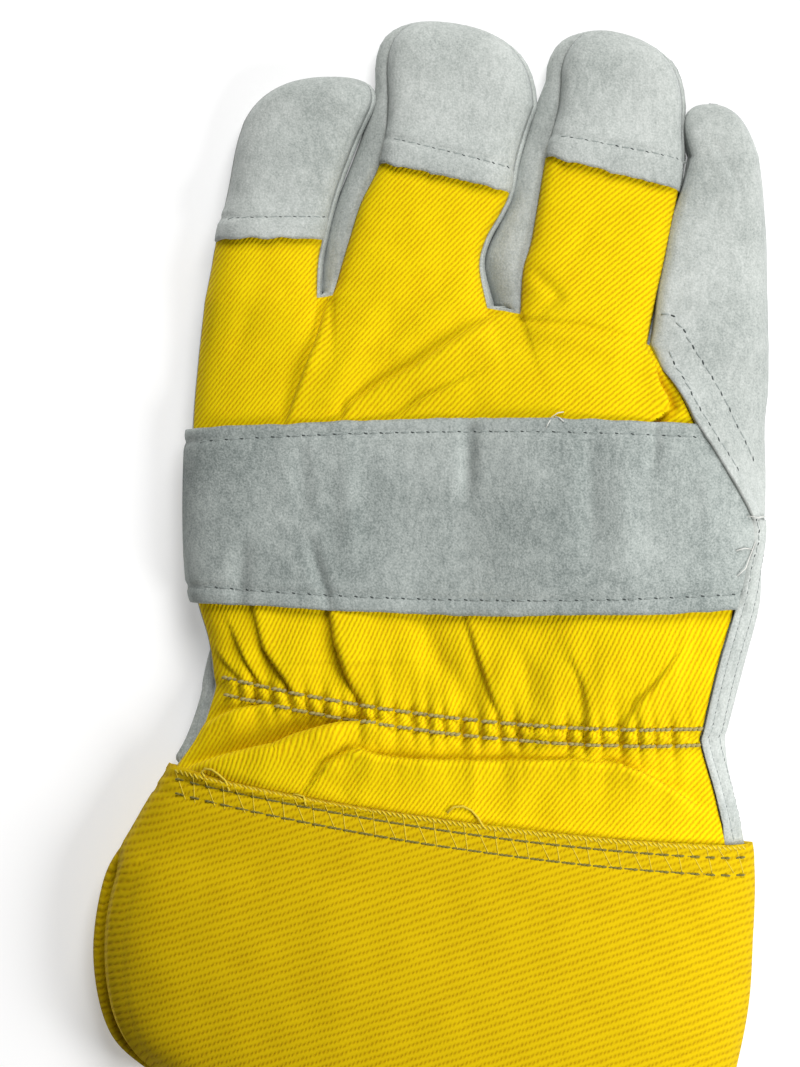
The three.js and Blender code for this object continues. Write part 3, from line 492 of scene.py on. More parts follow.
# %% [markdown]
# ## Laying a grid on the skin
#
# Each piece starts as a flat bmesh grid. Its two directions become a column and a row of the glove's skin.
# Rows are spaced by real length, because a table's rows are not evenly far apart. A Shrinkwrap modifier
# could lay the grid too, but it would not keep the columns on the seams. So a first move puts the grid on
# the skin, and a second one pushes it along its own normals: up for a hem that lies on the cloth, down into
# the groove of a seam or a row of stitches. Each point remembers its column and row in two layers, so grids
# can be joined before the second move.

# %% Points of the skin
FLAP_SHORT, FLAP_RAISED = 3.4, 1.5
STRAP_FADE = (0.35, 0.25)  # rows over which the cloth comes free at the strap's lower and upper edge


def flap_share(place, c, reach):
    """How much of the slit's flap a place has."""
    opened = 1 - smooth((place - ROW["cuff_mid"]) / (ROW["slit_top"] - ROW["cuff_mid"]))
    return opened * (1 - smooth(c / reach))


def hand_share(x, place):
    row = hand_row(place)
    return clamp01((x - row["left_x"]) / (row["right_x"] - row["left_x"]))


def skin_point(c, place):
    """The hand's skin: columns from the little-finger edge to the thumb-side edge, and past it back below."""
    if c <= TOP_LAST:
        flap = flap_share(place, c, 6)
        x, y, z = lifted(hand_top(c, place), BACK_RISE)
        across = hand_share(x, place)
        move = fold_move(x, y)
        move.z += soft_relief(x, y)
        move *= 1 - 0.8 * strap_cover(place)
        move *= 1 - 0.7 * bell(place - ELASTIC, 0.75, 4)
        move.z += pucker_relief(x, y, place, across)
        above_cuff = smooth((place - ROW["cuff_edge"] + 0.3) / 0.5)
        move *= above_cuff * dome(across, 8)
        z += side_dip(x, place) * above_cuff + move.z
        return x + FLAP_SHORT * flap + move.x, y + move.y, z + FLAP_RAISED * flap
    low = AROUND - c
    flap = flap_share(place, low, 3)
    x, y, z = hand_low(low, place)
    edge = max(1 - smooth(LOW_LAST - low), 1 - smooth(low))
    rise = lerp(thumb_lift(x, y, **UNDER_RISE), thumb_lift(x, y, **BACK_RISE), edge)
    return x, y, z + rise - FLAP_RAISED * flap


def side_dip(x, place):
    """The cloth dips at the seam along the little-finger side."""
    return groove(x - hand_row(place)["left_x"], 0.8, 1.6)


def strap_cover(place):
    """1 where the strap holds the cloth flat."""
    low, top = STRAP_FADE
    return smooth((place - ROW["strap_low"]) / low) * smooth((ROW["strap_top"] - place) / top)


# %% Points of a finger
SEAM_DIP, SEAM_WIDTH = 0.9, 1.2


def finger_seams(name, q, place, x):
    """The dip where a finger's back is sewn to its strips or its front. The hand's dip runs on into it."""
    row = finger_row(name, place)
    width = row["width"] * row["narrow"][1]
    fade = smooth(place / 0.5)
    left = groove(q * width, SEAM_DIP, SEAM_WIDTH) * fade
    if name == "little":
        left += side_dip(x, CROTCH) * (1 - fade)
    return left + groove((1 - q) * width, SEAM_DIP, SEAM_WIDTH) * fade


def finger_point(name, c, place):
    """The same for a finger, with its own columns; past the last one it turns to the front."""
    finger = FINGERS[name]
    if c <= finger["columns"] or place >= finger["last"] + 1:
        q = clamp01(c / finger["columns"])
        x, y, z = lifted(finger_top(name, q, place), BACK_RISE)
        held = lerp(dome(hand_share(x, CROTCH), 8), dome(q, 5), smooth(place))
        cloth = smooth((finger["hem_row"] + 1.2 - place) / 1.2) if name != "index" else smooth(1 - place / 3)
        move = fold_move(x, y) * held * cloth
        z += move.z + soft_relief(x, y) * held * cloth + finger_seams(name, q, place, x)
        return x + move.x, y + move.y, z
    low = finger["low_columns"] - (c - finger["columns"])
    return lifted(finger_low(name, low / finger["low_columns"], place), UNDER_RISE)


# %% Even spacing
def lengths(spots):
    """The length of a line from its start to each of its points."""
    return np.concatenate([[0], np.cumsum(np.linalg.norm(np.diff(spots, axis=0), axis=1))])


def even_places(start, end, step, point):
    """Places from start to end, about step millimetres apart on the skin."""
    fine = np.linspace(start, end, 160)
    length = lengths(np.array([point(p) for p in fine]))
    count = max(1, round(length[-1] / step))
    return np.interp(np.linspace(0, length[-1], count + 1), length, fine)


# %% Grids
WELD = 0.02  # points nearer than this are one


def home_layers(bm):
    """The two layers in which each point remembers its column and its place."""
    return bm.verts.layers.float["column"], bm.verts.layers.float["place"]


def new_grid(columns, places, point):
    """A bmesh grid whose squares lie at the given columns and places."""
    bm = bmesh.new()
    nx, ny = len(columns) - 1, len(places) - 1
    bmesh.ops.create_grid(bm, x_segments=nx, y_segments=ny, size=0.5)
    bm.verts.layers.float.new("column")
    bm.verts.layers.float.new("place")
    column, place = home_layers(bm)
    for v in bm.verts:
        v[column] = columns[round((v.co.x + 0.5) * nx)]
        v[place] = places[round((v.co.y + 0.5) * ny)]
        v.co = point(v[column], v[place])
    return bm


def join(*sheets):
    """Several grids in one bmesh, with the points on their common edges merged."""
    whole = sheets[0]
    for sheet in sheets[1:]:
        mesh = bpy.data.meshes.new("part")
        sheet.to_mesh(mesh)
        sheet.free()
        whole.from_mesh(mesh)
        bpy.data.meshes.remove(mesh)
    bmesh.ops.remove_doubles(whole, verts=whole.verts, dist=WELD)
    return whole


def push(bm, distance):
    """Moves each point along its normal by distance(column, place, x, y) millimetres."""
    bm.normal_update()
    column, place = home_layers(bm)
    moves = [v.normal * distance(v[column], v[place], v.co.x, v.co.y) for v in bm.verts]
    for v, move in zip(bm.verts, moves):
        v.co += move


LEAN_FROM = 40  # the rows of the weave are level at this x


def lay_uv(bm, flat, turn=lambda place: 0, lean=0):
    """A UV map in millimetres, from flat(column, place). turn rotates it, lean steepens it leftwards."""
    uv = bm.loops.layers.uv.new("cloth")
    column, place = home_layers(bm)
    for face in bm.faces:
        angle = math.radians(turn(sum(v[place] for v in face.verts) / len(face.verts)))
        sin, cos = math.sin(angle), math.cos(angle)
        for loop in face.loops:
            x, y, _ = flat(loop.vert[column], loop.vert[place])
            y += lean * (LEAN_FROM - x) ** 2
            loop[uv].uv = (x * cos + y * sin, y * cos - x * sin)


# %% Finished pieces
LEATHER_WALL = 1.5
THIN_REACH = 4  # the wall thins this near to a fingertip's pole, where its inside would cross itself
THINNEST = 0.05  # share of the wall that is left there
pieces = {}


def finish(name, bm, materials):
    """Turns a bmesh in the frame's metres into an object that rides on the root."""
    for face in bm.faces:
        face.smooth = True
    mesh = bpy.data.meshes.new(name)
    bm.to_mesh(mesh)
    bm.free()
    for material in materials:
        mesh.materials.append(material)
    piece = bpy.data.objects.new(name, mesh)
    bpy.context.scene.collection.objects.link(piece)
    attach(piece, "root")
    print(name, len(mesh.polygons), "faces")
    return piece


def make_piece(name, bm, stands_for, materials, wall=LEATHER_WALL, tips=()):
    """A piece with a wall, from a bmesh in drawing millimetres; tips are the fingertips where it ends."""
    poles = [Vector(FINGERS[tip]["tip"]) for tip in tips]
    weights = [min([1, *((v.co.xy - pole).length / THIN_REACH for pole in poles)]) for v in bm.verts]
    bmesh.ops.translate(bm, verts=bm.verts, vec=(-GLOVE_CENTRE[0], -GLOVE_CENTRE[1], 0))
    bmesh.ops.scale(bm, verts=bm.verts, vec=(MM, MM, MM))
    piece = finish(name, bm, materials)
    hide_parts(stands_for)
    solid = piece.modifiers.new("wall", "SOLIDIFY")
    solid.thickness = wall * MM
    solid.offset = -1
    solid.use_even_offset = False
    solid.material_offset_rim = len(materials) - 1
    if tips:
        group = piece.vertex_groups.new(name="wall")
        for i, weight in enumerate(weights):
            group.add([i], weight, "REPLACE")
        solid.vertex_group = "wall"
        solid.thickness_vertex_group = THINNEST
    pieces[name] = piece


# %% [markdown]
# ## Finishes
#
# Colours are read off real materials as sRGB hex values, and one function turns them to linear light.

# %% Colour and node helpers
def hex_colour(text):
    """A linear RGBA colour from an sRGB hex value."""
    channels = [int(text[i:i + 2], 16) / 255 for i in (0, 2, 4)]
    return [c / 12.92 if c <= 0.04045 else ((c + 0.055) / 1.055) ** 2.4 for c in channels] + [1.0]


def add_node(tree, kind, settings=(), links=()):
    """Adds a node; settings are its own values or unlinked inputs, links join its inputs to other nodes.

    What comes back is the node's output: the first one that is in use.
    """
    made = tree.nodes.new("ShaderNode" + kind)
    for key, value in dict(settings).items():
        if isinstance(key, str) and hasattr(made, key):
            setattr(made, key, value)
        else:
            made.inputs[key].default_value = value
    for key, output in dict(links).items():
        tree.links.new(output, made.inputs[key])
    return next(output for output in made.outputs if output.enabled)


def new_material(name, shader_settings):
    material = bpy.data.materials.new(name)
    material.use_nodes = True
    tree = material.node_tree
    shader = tree.nodes["Principled BSDF"]
    for key, value in shader_settings.items():
        shader.inputs[key].default_value = value
    return material, tree, shader


def show(tree, shader, colours, tone, height, strength, depth):
    """Joins a tone between two colours, and a height in metres, to the shader."""
    dark, light = (hex_colour(colour) for colour in colours)
    colour = add_node(tree, "Mix", {"data_type": "RGBA", 6: dark, 7: light}, {0: tone})
    tree.links.new(colour, shader.inputs["Base Color"])
    bump = add_node(tree, "Bump", {"Strength": strength, "Distance": depth}, {"Height": height})
    tree.links.new(bump, shader.inputs["Normal"])


# %% [markdown]
# ### Split leather
#
# Split leather is the lower layer of a cow hide, with no grain side: a loose, short nap, a little greasy
# and mottled. It scatters light at grazing angles, so it gets sheen, no clear gloss, soft patches of
# lighter and darker grey, and a fine fibre bump. Real hairs would be too many; noise shows the same nap.
# The patches are about 24 mm across. Real fibres are 0.1 mm thick or less, too fine for this picture, so
# the tufts of the nap are drawn 0.5 mm wide and the swept fibres 1.4 mm, as coarse as they need to show.

# %% Split leather
PATCHES, TUFTS, FIBRES = 0.042, 2.1, 0.7  # how many to a millimetre


def split_leather(name, dark, light, fibre_depth=0.00016):
    """fibre_depth is in metres."""
    material, tree, shader = new_material(name, {
        "Roughness": 0.95, "IOR": 1.45, "Specular IOR Level": 0.15,
        "Sheen Weight": 0.2, "Sheen Roughness": 0.6, "Sheen Tint": hex_colour("E4EAEA")})
    coords = add_node(tree, "TexCoord").node.outputs["Object"]
    patches = add_node(tree, "TexNoise", {"Scale": PATCHES / MM, "Detail": 3, "Roughness": 0.55},
                       {"Vector": coords})
    nap = add_node(tree, "TexNoise", {"Scale": TUFTS / MM, "Detail": 3, "Roughness": 0.6}, {"Vector": coords})
    swept = add_node(tree, "Mapping", {"Scale": (1, 0.45, 1)}, {"Vector": coords})
    fibre = add_node(tree, "TexNoise", {"Scale": FIBRES / MM, "Detail": 4, "Roughness": 0.65},
                     {"Vector": swept})
    blend = add_node(tree, "Math", {"operation": "MULTIPLY_ADD", 1: 0.8}, {0: patches, 2: nap})
    blend = add_node(tree, "Math", {"operation": "MULTIPLY_ADD", 1: 0.6}, {0: fibre, 2: blend})
    tone = add_node(tree, "MapRange", {1: 0.92, 2: 1.48}, {0: blend})
    height = add_node(tree, "Math", {"operation": "MULTIPLY_ADD", 1: 0.8}, {0: fibre, 2: nap})
    show(tree, shader, (dark, light), tone, height, 0.8, fibre_depth)
    return material


leather = split_leather("split_leather_grey", "8C928E", "BABEBA")
strap_suede = split_leather("split_leather_blue_grey", "6F7774", "ABB1AD")
cut_edge = split_leather("split_leather_cut_edge", "949792", "BEC0BC", 0.0001)

# %% [markdown]
# ### Cotton twill
#
# In a twill the threads step one place sideways in each row, which draws slanting ridges. The ridges of the
# back are 1.1 mm apart here, as in the real drill cloth, with the short floats of each thread along them.
# Threads that close would need millions of faces, so two crossed wave textures draw them, in the
# millimetres of the UV map. The cuff is a heavier canvas of the same dye, cut the other way, so its ridges
# lie nearly across.

# %% Cotton twill
WAVE_PERIOD = 0.31416  # a wave texture of scale 1 repeats at this length
FLUFF, FADED = 2.2, 0.12  # tufts of lint and faded patches to a millimetre: about 0.5 and 8 mm across


def twill(name, colours, angle, ridge, float_angle, float_pitch, pit_share, depth):
    """colours are the painted shade in the pits and the light threads; angles are in degrees, lengths in
    millimetres.
    """
    material, tree, shader = new_material(name, {
        "Roughness": 0.9, "IOR": 1.45, "Specular IOR Level": 0.1,
        "Sheen Weight": 0.05, "Sheen Roughness": 0.5, "Sheen Tint": hex_colour("FFF0A0")})
    uv = add_node(tree, "UVMap", {"uv_map": "cloth"})

    def bands(turn, pitch, uneven):
        turned = add_node(tree, "Mapping", {"Rotation": (0, 0, math.radians(-turn))}, {"Vector": uv})
        return add_node(tree, "TexWave", {
            "bands_direction": "Y", "Scale": WAVE_PERIOD / pitch, "Distortion": uneven, "Detail": 2,
            "Detail Scale": 1.6, "Detail Roughness": 0.7}, {"Vector": turned}).node.outputs["Fac"]

    ridges = add_node(tree, "Math", {"operation": "POWER", 1: 0.7}, {0: bands(angle, ridge, 1.6)})
    floats = bands(float_angle, float_pitch, 2.4)
    valley = add_node(tree, "Math", {"operation": "SUBTRACT", 0: 1}, {1: ridges})
    pits = add_node(tree, "Math", {"operation": "MULTIPLY"}, {0: valley, 1: floats})
    crown = add_node(tree, "Math", {"operation": "MULTIPLY", 1: 1 - pit_share}, {0: ridges})
    height = add_node(tree, "Math", {"operation": "MULTIPLY_ADD", 1: -pit_share}, {0: pits, 2: crown})
    # The weave's height also sets its colour, darker in the pits between the threads: painted shade in these
    # hollows. The faded patches and the lint are the cloth's own tone.
    level = add_node(tree, "MapRange", {1: -pit_share, 2: 1 - pit_share}, {0: height})
    fluff = add_node(tree, "TexNoise", {"Scale": FLUFF, "Detail": 3, "Roughness": 0.7}, {"Vector": uv})
    patches = add_node(tree, "TexNoise", {"Scale": FADED, "Detail": 5, "Roughness": 0.65}, {"Vector": uv})
    shade = add_node(tree, "Math", {"operation": "MULTIPLY_ADD", 1: 0.7}, {0: patches, 2: level})
    shade = add_node(tree, "Math", {"operation": "MULTIPLY_ADD", 1: 0.8}, {0: fluff, 2: shade})
    tone = add_node(tree, "MapRange", {1: 0.55, 2: 1.7}, {0: shade})
    show(tree, shader, colours, tone, height, 0.9, depth)
    return material


# The dark colour is painted shade in the pits between the threads, and the tone of the faded patches.
back_twill = twill("cotton_twill_yellow", ("B88600", "DFC700"), 40, 1.08, 84, 0.8, 0.2, 0.00015)
cuff_canvas = twill("cotton_canvas_yellow", ("9E7800", "C2A500"), 18, 1.6, 70, 0.83, 0.6, 0.00016)


# %% [markdown]
# ### Threads
#
# The seams are sewn with twisted cotton thread, matt with a faint sheen. A texture could draw its plies, but
# a thread is only two to four pixels thick in the picture. So each thread has one plain colour: grey like the
# leather, beige at the elastic, olive and yellow on the cuff, and white for the loose ends.

# %% Threads
def thread(name, colour):
    return new_material(name, {
        "Base Color": hex_colour(colour), "Roughness": 0.85, "Specular IOR Level": 0.2,
        "Sheen Weight": 0.1, "Sheen Roughness": 0.5})[0]


leather_thread = thread("thread_blue_grey", "888F8C")
# The near-black grain at each needle hole is painted shade, for the shadow in a hole that is not cut.
hole_shade = thread("needle_hole_painted_shade", "3E4443")
light_thread = thread("thread_beige_grey", "988C55")
olive_thread = thread("thread_olive_grey", "6F6730")
yellow_thread = thread("thread_pale_yellow", "C9B232")
white_thread = thread("thread_white", "CACAC5")
print("finishes", [material.name for material in bpy.data.materials])

# %% [markdown]
# ## The cloth back
#
# One cloth covers the back of the hand and of three fingers. It could be cut out of one large grid, but
# then its edges would be stepped. Four grids have straight edges, and the finger grids have the same
# columns as the hand's grid, so they join along the line of the crotches.

# %% Cloth back
CLOTH_WALL, CLOTH_STEP = 1.0, 0.7
SPLIT = 6  # grid columns for each column of the skin
UNDER_HEM = 0.45  # rows that the cloth runs on below a cap
LEAN = 0.0024  # how fast the rows of the weave steepen, in 1 / mm
MIDDLE_COLUMN, PATCH_COLUMN = 20, 36  # columns of the hand along which rows are spaced


def split_columns(first, last, split=4):
    return np.linspace(first, last, (last - first) * split + 1)


def hand_places(start, end, step, column=MIDDLE_COLUMN):
    return even_places(ROW[start], ROW[end], step, lambda p: hand_top(column, p)[:2])


def finger_places(name, start, end, step):
    return even_places(start, end, step, lambda p: finger_top(name, 0.5, p)[:2])


def weave_turn(place):
    """The cloth is cut so that its ridges stand steeper below the strap than above it."""
    return 0.0 if place > ROW["strap_mid"] else 24.0 if place > ELASTIC else 9.0


cloth = new_grid(split_columns(0, STRIP, SPLIT), hand_places("tail", "crotch", CLOTH_STEP), skin_point)
lay_uv(cloth, hand_top, weave_turn, LEAN)
sheets = [cloth]
for name in CLOTH_FINGERS:
    finger = FINGERS[name]
    sheet = new_grid(split_columns(0, finger["columns"], SPLIT),
                     finger_places(name, 0, finger["hem_row"] + UNDER_HEM, CLOTH_STEP),
                     lambda c, p: finger_point(name, c, p))
    lay_uv(sheet, lambda c, p: finger_top(name, c / finger["columns"], p), lean=LEAN)
    sheets.append(sheet)
cloth = join(*sheets)
make_piece("cloth_back", cloth, "back_cloth", [back_twill], CLOTH_WALL)

# %% [markdown]
# ## Fingertips
#
# A leather cap closes each of the three cloth fingers. Its hem lies on the cloth, so the cap starts raised
# and comes down to the skin past the row of stitches that holds it. A cap that was modelled flush and
# coloured grey would show no such step, and the step is what makes it look sewn on.

# %% Fingertips
LAP = 1.7  # height of a leather edge that lies on cloth
TIP_STEP = 0.8
TIP_RINGS = 16  # over the round end of a finger
TIP_FADE = 0.45  # rows over which a piece comes down to the skin at a tip


def rounded_end(name, count=TIP_RINGS):
    """Places over a finger's round end, close together where it turns down."""
    turns = (math.pi / 2 * (i + 1) / count for i in range(count))
    return [FINGERS[name]["last"] + math.sin(turn) ** (2 / TIP_POWER) for turn in turns]


def tip_fade(name, place):
    """1 along a finger and 0 at the very tip, where all its pieces meet."""
    return smooth((FINGERS[name]["last"] + 1 - place) / TIP_FADE)


def tip_sheet(name, start, extra=0, wander=0):
    """The leather over a fingertip, whose hem wanders a little, as it is cut by hand."""
    finger = FINGERS[name]

    def point(c, p):
        uneven = rough(c * 0.9, start, 5) + 0.3 * rough(c * 2.6, start, 8)
        return finger_point(name, c, p + wander * uneven * (1 - smooth((p - start) / 0.7)))

    places = [*finger_places(name, start, finger["last"], TIP_STEP), *rounded_end(name)]
    sheet = new_grid(split_columns(0, finger["columns"] + extra, 5), places, point)
    bmesh.ops.remove_doubles(sheet, verts=sheet.verts, dist=WELD)
    return sheet


def past_hem(name, q, place):
    """From a cap's hem to a place on the finger."""
    hem, here = (Vector(finger_top(name, q, p)[:2]) for p in (FINGERS[name]["hem_row"], place))
    return (here - hem).length


# from a cap's hem to its row of stitches, at the left and the right
HEM_STITCH = {"little": (5.4, 5.5), "ring": (6.6, 5.8), "middle": (5.6, 7.6)}


def cap_height(name):
    def height(c, place, x, y):
        q = clamp01(c / FINGERS[name]["columns"])
        far = past_hem(name, q, place)
        row = lerp(*HEM_STITCH[name], q)
        lap = LAP * (1 - smooth((far - row + 1) / 7))
        band = 0.35 * dome(clamp01(far / row), 2) + groove(far - row, 0.75, 0.75)
        bulge = 0.7 * smooth((far - row) / 5) * dome(q, 2)
        soft = 0.5 * rough(x, y, 2, 0.07) + 0.2 * rough(x, y, 2, 0.2)
        return (lap + band + bulge + soft) * dome(q, 6) * tip_fade(name, place)
    return height


for name in CLOTH_FINGERS:
    cap = tip_sheet(name, FINGERS[name]["hem_row"], wander=0.04 if name == "little" else 0.07)
    push(cap, cap_height(name))
    make_piece(f"{name}_cap", cap, f"{name}_fingertip", [leather, cut_edge], tips=[name])

# %% [markdown]
# ## Index finger
#
# The index finger is leather all round. Its back runs down into a patch that tapers along the thumb side
# and is sewn over the cloth with two rows of stitches. The patch and the finger are pushed out by different
# rules, so they start as two grids, and joining them last leaves one piece without a seam.

# %% Index back
def strip_distance(c, place, x, y):
    """Millimetres from the left edge of the index patch or the side binding."""
    row = hand_row(place)
    return patch_share(c) * (row["right_x"] - row["strip_x"])


def patch_height(c, place, x, y):
    off = strip_distance(c, place, x, y)
    over_strap = 1.5 * smooth((ROW["strap_top"] + 0.2 - place) / 0.4)
    lap = (LAP + 0.4 + over_strap) * (1 - smooth(max((off - 2) / 12, patch_share(c))))
    return lap + groove(off - 3.4, 0.5, 0.8) + 0.3 * rough(x, y, 4, 0.07)


patch_places = hand_places("strap_mid", "crotch", TIP_STEP, PATCH_COLUMN)
hand_part = new_grid(split_columns(STRIP, TOP_LAST + 1, 5), patch_places, skin_point)
push(hand_part, lambda c, place, x, y: patch_height(c, place, x, y) * smooth((CROTCH - place) / 1.2))
finger_part = tip_sheet("index", 0, extra=1)
push(finger_part, lambda c, place, x, y: smooth(place / 1.5) * tip_fade("index", place) * (
    0.5 * rough(x, y, 4, 0.06) + 0.9 * bell(c, 0.8) + fold_move(x, y, INDEX_FOLDS).z))
make_piece("index_leather", join(hand_part, finger_part), "index_back", [leather, cut_edge], tips=["index"])

# %% [markdown]
# ## Knuckle strap
#
# A plain band of darker leather crosses the knuckles, on top of the cloth. It is cut by hand, so its long
# edges wander a little, and its two rows of stitches draw it down. A copy of the cloth's grid would take
# over its folds, and leather is too stiff for them, so the strap has its own grid and its own few folds.

# %% Knuckle strap
STRAP_STEP = 0.85
STRAP_ROWS = (3.1, 3.7)  # from the upper and the lower edge to the row of stitches
GAP = 0.3  # between a sewn layer and the one below it


def strap_point(c, place):
    """The strap bridges the folds that start at its edges."""
    held = min(max(place, ROW["strap_low"] + STRAP_FADE[0]), ROW["strap_top"] - STRAP_FADE[1])
    x, y, z = lifted(hand_top(c, place), BACK_RISE)
    z += skin_point(c, held)[2] - lifted(hand_top(c, held), BACK_RISE)[2]
    far = 7 if place > ROW["strap_mid"] else 2
    return x, y + 0.6 * rough(x * 0.045, far, 0) + 0.3 * rough(x * 0.22, far, 3), z


def strap_height(c, place, x, y):
    row_top, row_low = hand_top(c, ROW["strap_top"])[1], hand_top(c, ROW["strap_low"])[1]
    from_top, from_low = row_top - y, y - row_low
    waves = 0.5 * rough(x * 0.06, y * 0.012, 9) + 0.25 * rough(x * 0.12, y * 0.05, 3)
    puffed = 0.5 * dome(clamp01(from_low / (from_low + from_top)), 4)
    rows = groove(from_top - STRAP_ROWS[0], 0.5, 0.8) + groove(from_low - STRAP_ROWS[1], 0.5, 0.8)
    return GAP + LEATHER_WALL + rows + puffed + waves + fold_move(x, y, STRAP_FOLDS).z


strap = new_grid(split_columns(0, STRIP), hand_places("strap_low", "strap_top", STRAP_STEP), strap_point)
push(strap, strap_height)
make_piece("strap", strap, "knuckle_strap", [strap_suede, cut_edge])

# %% [markdown]
# ## Side strips
#
# Between two fingers runs one strip: down the side of one finger, round the crotch and up the side of the
# next. It could be swept along a curve, but its width changes all the way. So its grid fills the gap
# between the edges of the backs and the edges of the fronts, whatever the gap's width is.

# %% Side strips
STRIP_LEVELS, STRIP_STEP, STRIP_WALL = 14, 1.2, 1.3


def strip_path(before, after):
    """Stations (finger, place, at its right) along a strip, from near one fingertip to near the next."""
    down, up = ([(name, p, name == before) for p in [
        *finger_places(name, 0, FINGERS[name]["last"], STRIP_STEP), *rounded_end(name, 10)[:-1]]]
        for name in (before, after))
    return down[::-1] + up


def inset(name, place, right):
    """Width of the side strip that shows beside a finger's back."""
    finger = FINGERS[name]
    return along(finger["rows"], "right_in" if right else "left_in", min(place, finger["last"]))


def strip_sheet(before, after):
    """A strip's grid: it bulges where it is wide, and its upper edge is tucked under the backs."""
    stations = strip_path(before, after)

    def point(level, station):
        name, place, right = stations[round(station)]
        top = Vector(finger_point(name, FINGERS[name]["columns"] if right else 0, place))
        low = Vector(lifted(finger_low(name, 1 if right else 0, place), UNDER_RISE))
        inward = Vector((-1 if right else 1, -0.2, 0)) * clamp01(inset(name, place, right) / 3)
        tuck = smooth((level - 0.85) / 0.15) * tip_fade(name, place)
        return low.lerp(top, level) + (inward - Vector((0, 0, 0.9))) * tuck

    def height(level, station, x, y):
        name, place, right = stations[round(station)]
        bulge = (0.8 + 0.22 * inset(name, place, right)) * dome(clamp01(level / 0.9), 2)
        return bulge * tip_fade(name, place)

    sheet = new_grid(np.linspace(0, 1, STRIP_LEVELS + 1), range(len(stations)), point)
    push(sheet, height)
    return sheet


for before, after in zip(FINGERS, list(FINGERS)[1:]):
    pair = f"{before}_{after}"
    make_piece(f"{pair}_strip", strip_sheet(before, after), f"side_strip_{pair}", [leather], wall=STRIP_WALL,
               tips=[before, after])

# %% [markdown]
# ## Side binding
#
# A folded strip of leather covers the seam on the thumb side, from the index patch to the cuff. Its left
# edge is a narrow roll, with a row of stitches beside it and another near the outer edge. The roll could be
# a tube of its own, but on the real strip it is the same leather, so the grid itself is pushed up there.

# %% Side binding
BINDING_ROWS = (2.3, 5)  # from the binding's left edge to its rows of stitches
BINDING_WALL, BINDING_STEP = 2, 0.8


def binding_height(c, place, x, y):
    off = strip_distance(c, place, x, y)
    roll = (0.7 + 1.3 * strap_cover(place)) * bell(off - 0.9, 1)
    rows = groove(off - BINDING_ROWS[0], 0.5, 0.5) + groove(off - BINDING_ROWS[1], 0.3, 0.5)
    return smooth((place - ROW["cuff_edge"]) / 0.6) * (0.6 + roll + rows)


binding_places = hand_places("tail", "strap_mid", BINDING_STEP, PATCH_COLUMN)
binding = new_grid(split_columns(STRIP, TOP_LAST + 1, 3), binding_places, skin_point)
push(binding, binding_height)
make_piece("binding", binding, "side_binding", [leather, cut_edge], wall=BINDING_WALL)

# %% [markdown]
# ## Cuff
#
# The cuff is one stiff canvas tube. It opens in a slit on the little-finger side, where its front flap ends
# short of the rear one. Its grid runs once round the wrist, and its two ends meet above the slit. Welding
# only the points that meet is simpler than cutting a slit into a closed tube, and leaves clean edges.

# %% Cuff
CUFF_WALL, CUFF_STEP = 1.8, 1.1


def cuff_row_depths(across):
    """How far below the cuff's upper edge its two rows of stitches lie."""
    return lerp(2.4, 3, across), lerp(5.8, 7.2, across)


def cuff_edge_y(across):
    edge = HAND_ROWS[ROW["cuff_edge"]]
    return lerp(edge["left_y"], edge["right_y"], across) + edge["bow"] * 4 * across * (1 - across)


def cuff_height(c, place, x, y):
    row = hand_row(place)
    across = (x - row["left_x"]) / (row["right_x"] - row["left_x"])
    down = cuff_edge_y(across) - y
    soft = 0.8 * rough(x, y, 6, 0.03) + 0.25 * rough(x, y, 6, 0.11)
    front = smooth((TOP_LAST - c) / 4)
    seams = sum(groove(down - depth, 0.5, 0.7) for depth in cuff_row_depths(across))
    from_flap = x - row["left_x"] - FLAP_SHORT
    roll = 0.8 * bell(from_flap - 1.3, 1.1) + groove(from_flap - 3.2, 0.5, 0.7)
    roll *= smooth((ROW["slit_top"] - place) / 0.6) * front
    return GAP + CUFF_WALL + front * (seams + soft * smooth(down / 25)) + roll


cuff = new_grid(split_columns(0, AROUND, 3), hand_places("mouth", "cuff_edge", CUFF_STEP), skin_point)
bmesh.ops.remove_doubles(cuff, verts=cuff.verts, dist=WELD)
lay_uv(cuff, skin_point)
push(cuff, cuff_height)
make_piece("cuff_tube", cuff, "cuff", [cuff_canvas], CUFF_WALL)

# %% [markdown]
# ## Palm
#
# The palm and the fronts of all four fingers are one piece of leather. It lies on the table, so only its
# rolled edge at the heel of the hand shows from above. It is made as the cloth back is, with the thumb hole
# left out of the grid: a Boolean would cut a rounder hole, but breaks the grid that the wall is made from.

# %% Palm
HEEL_ROLL = 8.4  # how far the palm's edge bulges out beside the wrist
PALM_STEP, FRONT_STEP = 1.2, 1.6  # on the hand and on the fronts of the fingers


def palm_point(c, place):
    x, y, z = skin_point(AROUND - c, place)
    roll = HEEL_ROLL * bell(place - 7.6, 2.6, 4) * smooth((place - ROW["cuff_edge"] + 0.3) / 0.8)
    roll *= math.sin(math.pi * clamp01(c / 1.8)) ** 2
    return x - roll, y, z + 0.2 * roll


def in_thumb_hole(x, y):
    (root_x, root_y), (tip_x, tip_y) = THUMB["root"], THUMB["tip"]
    angle = math.atan2(tip_y - root_y, tip_x - root_x)
    dx, dy = x - root_x, y - root_y
    forward = dx * math.cos(angle) + dy * math.sin(angle)
    across = dy * math.cos(angle) - dx * math.sin(angle)
    return (forward / THUMB["hole_along"]) ** 2 + (across / THUMB["hole_across"]) ** 2 < 1


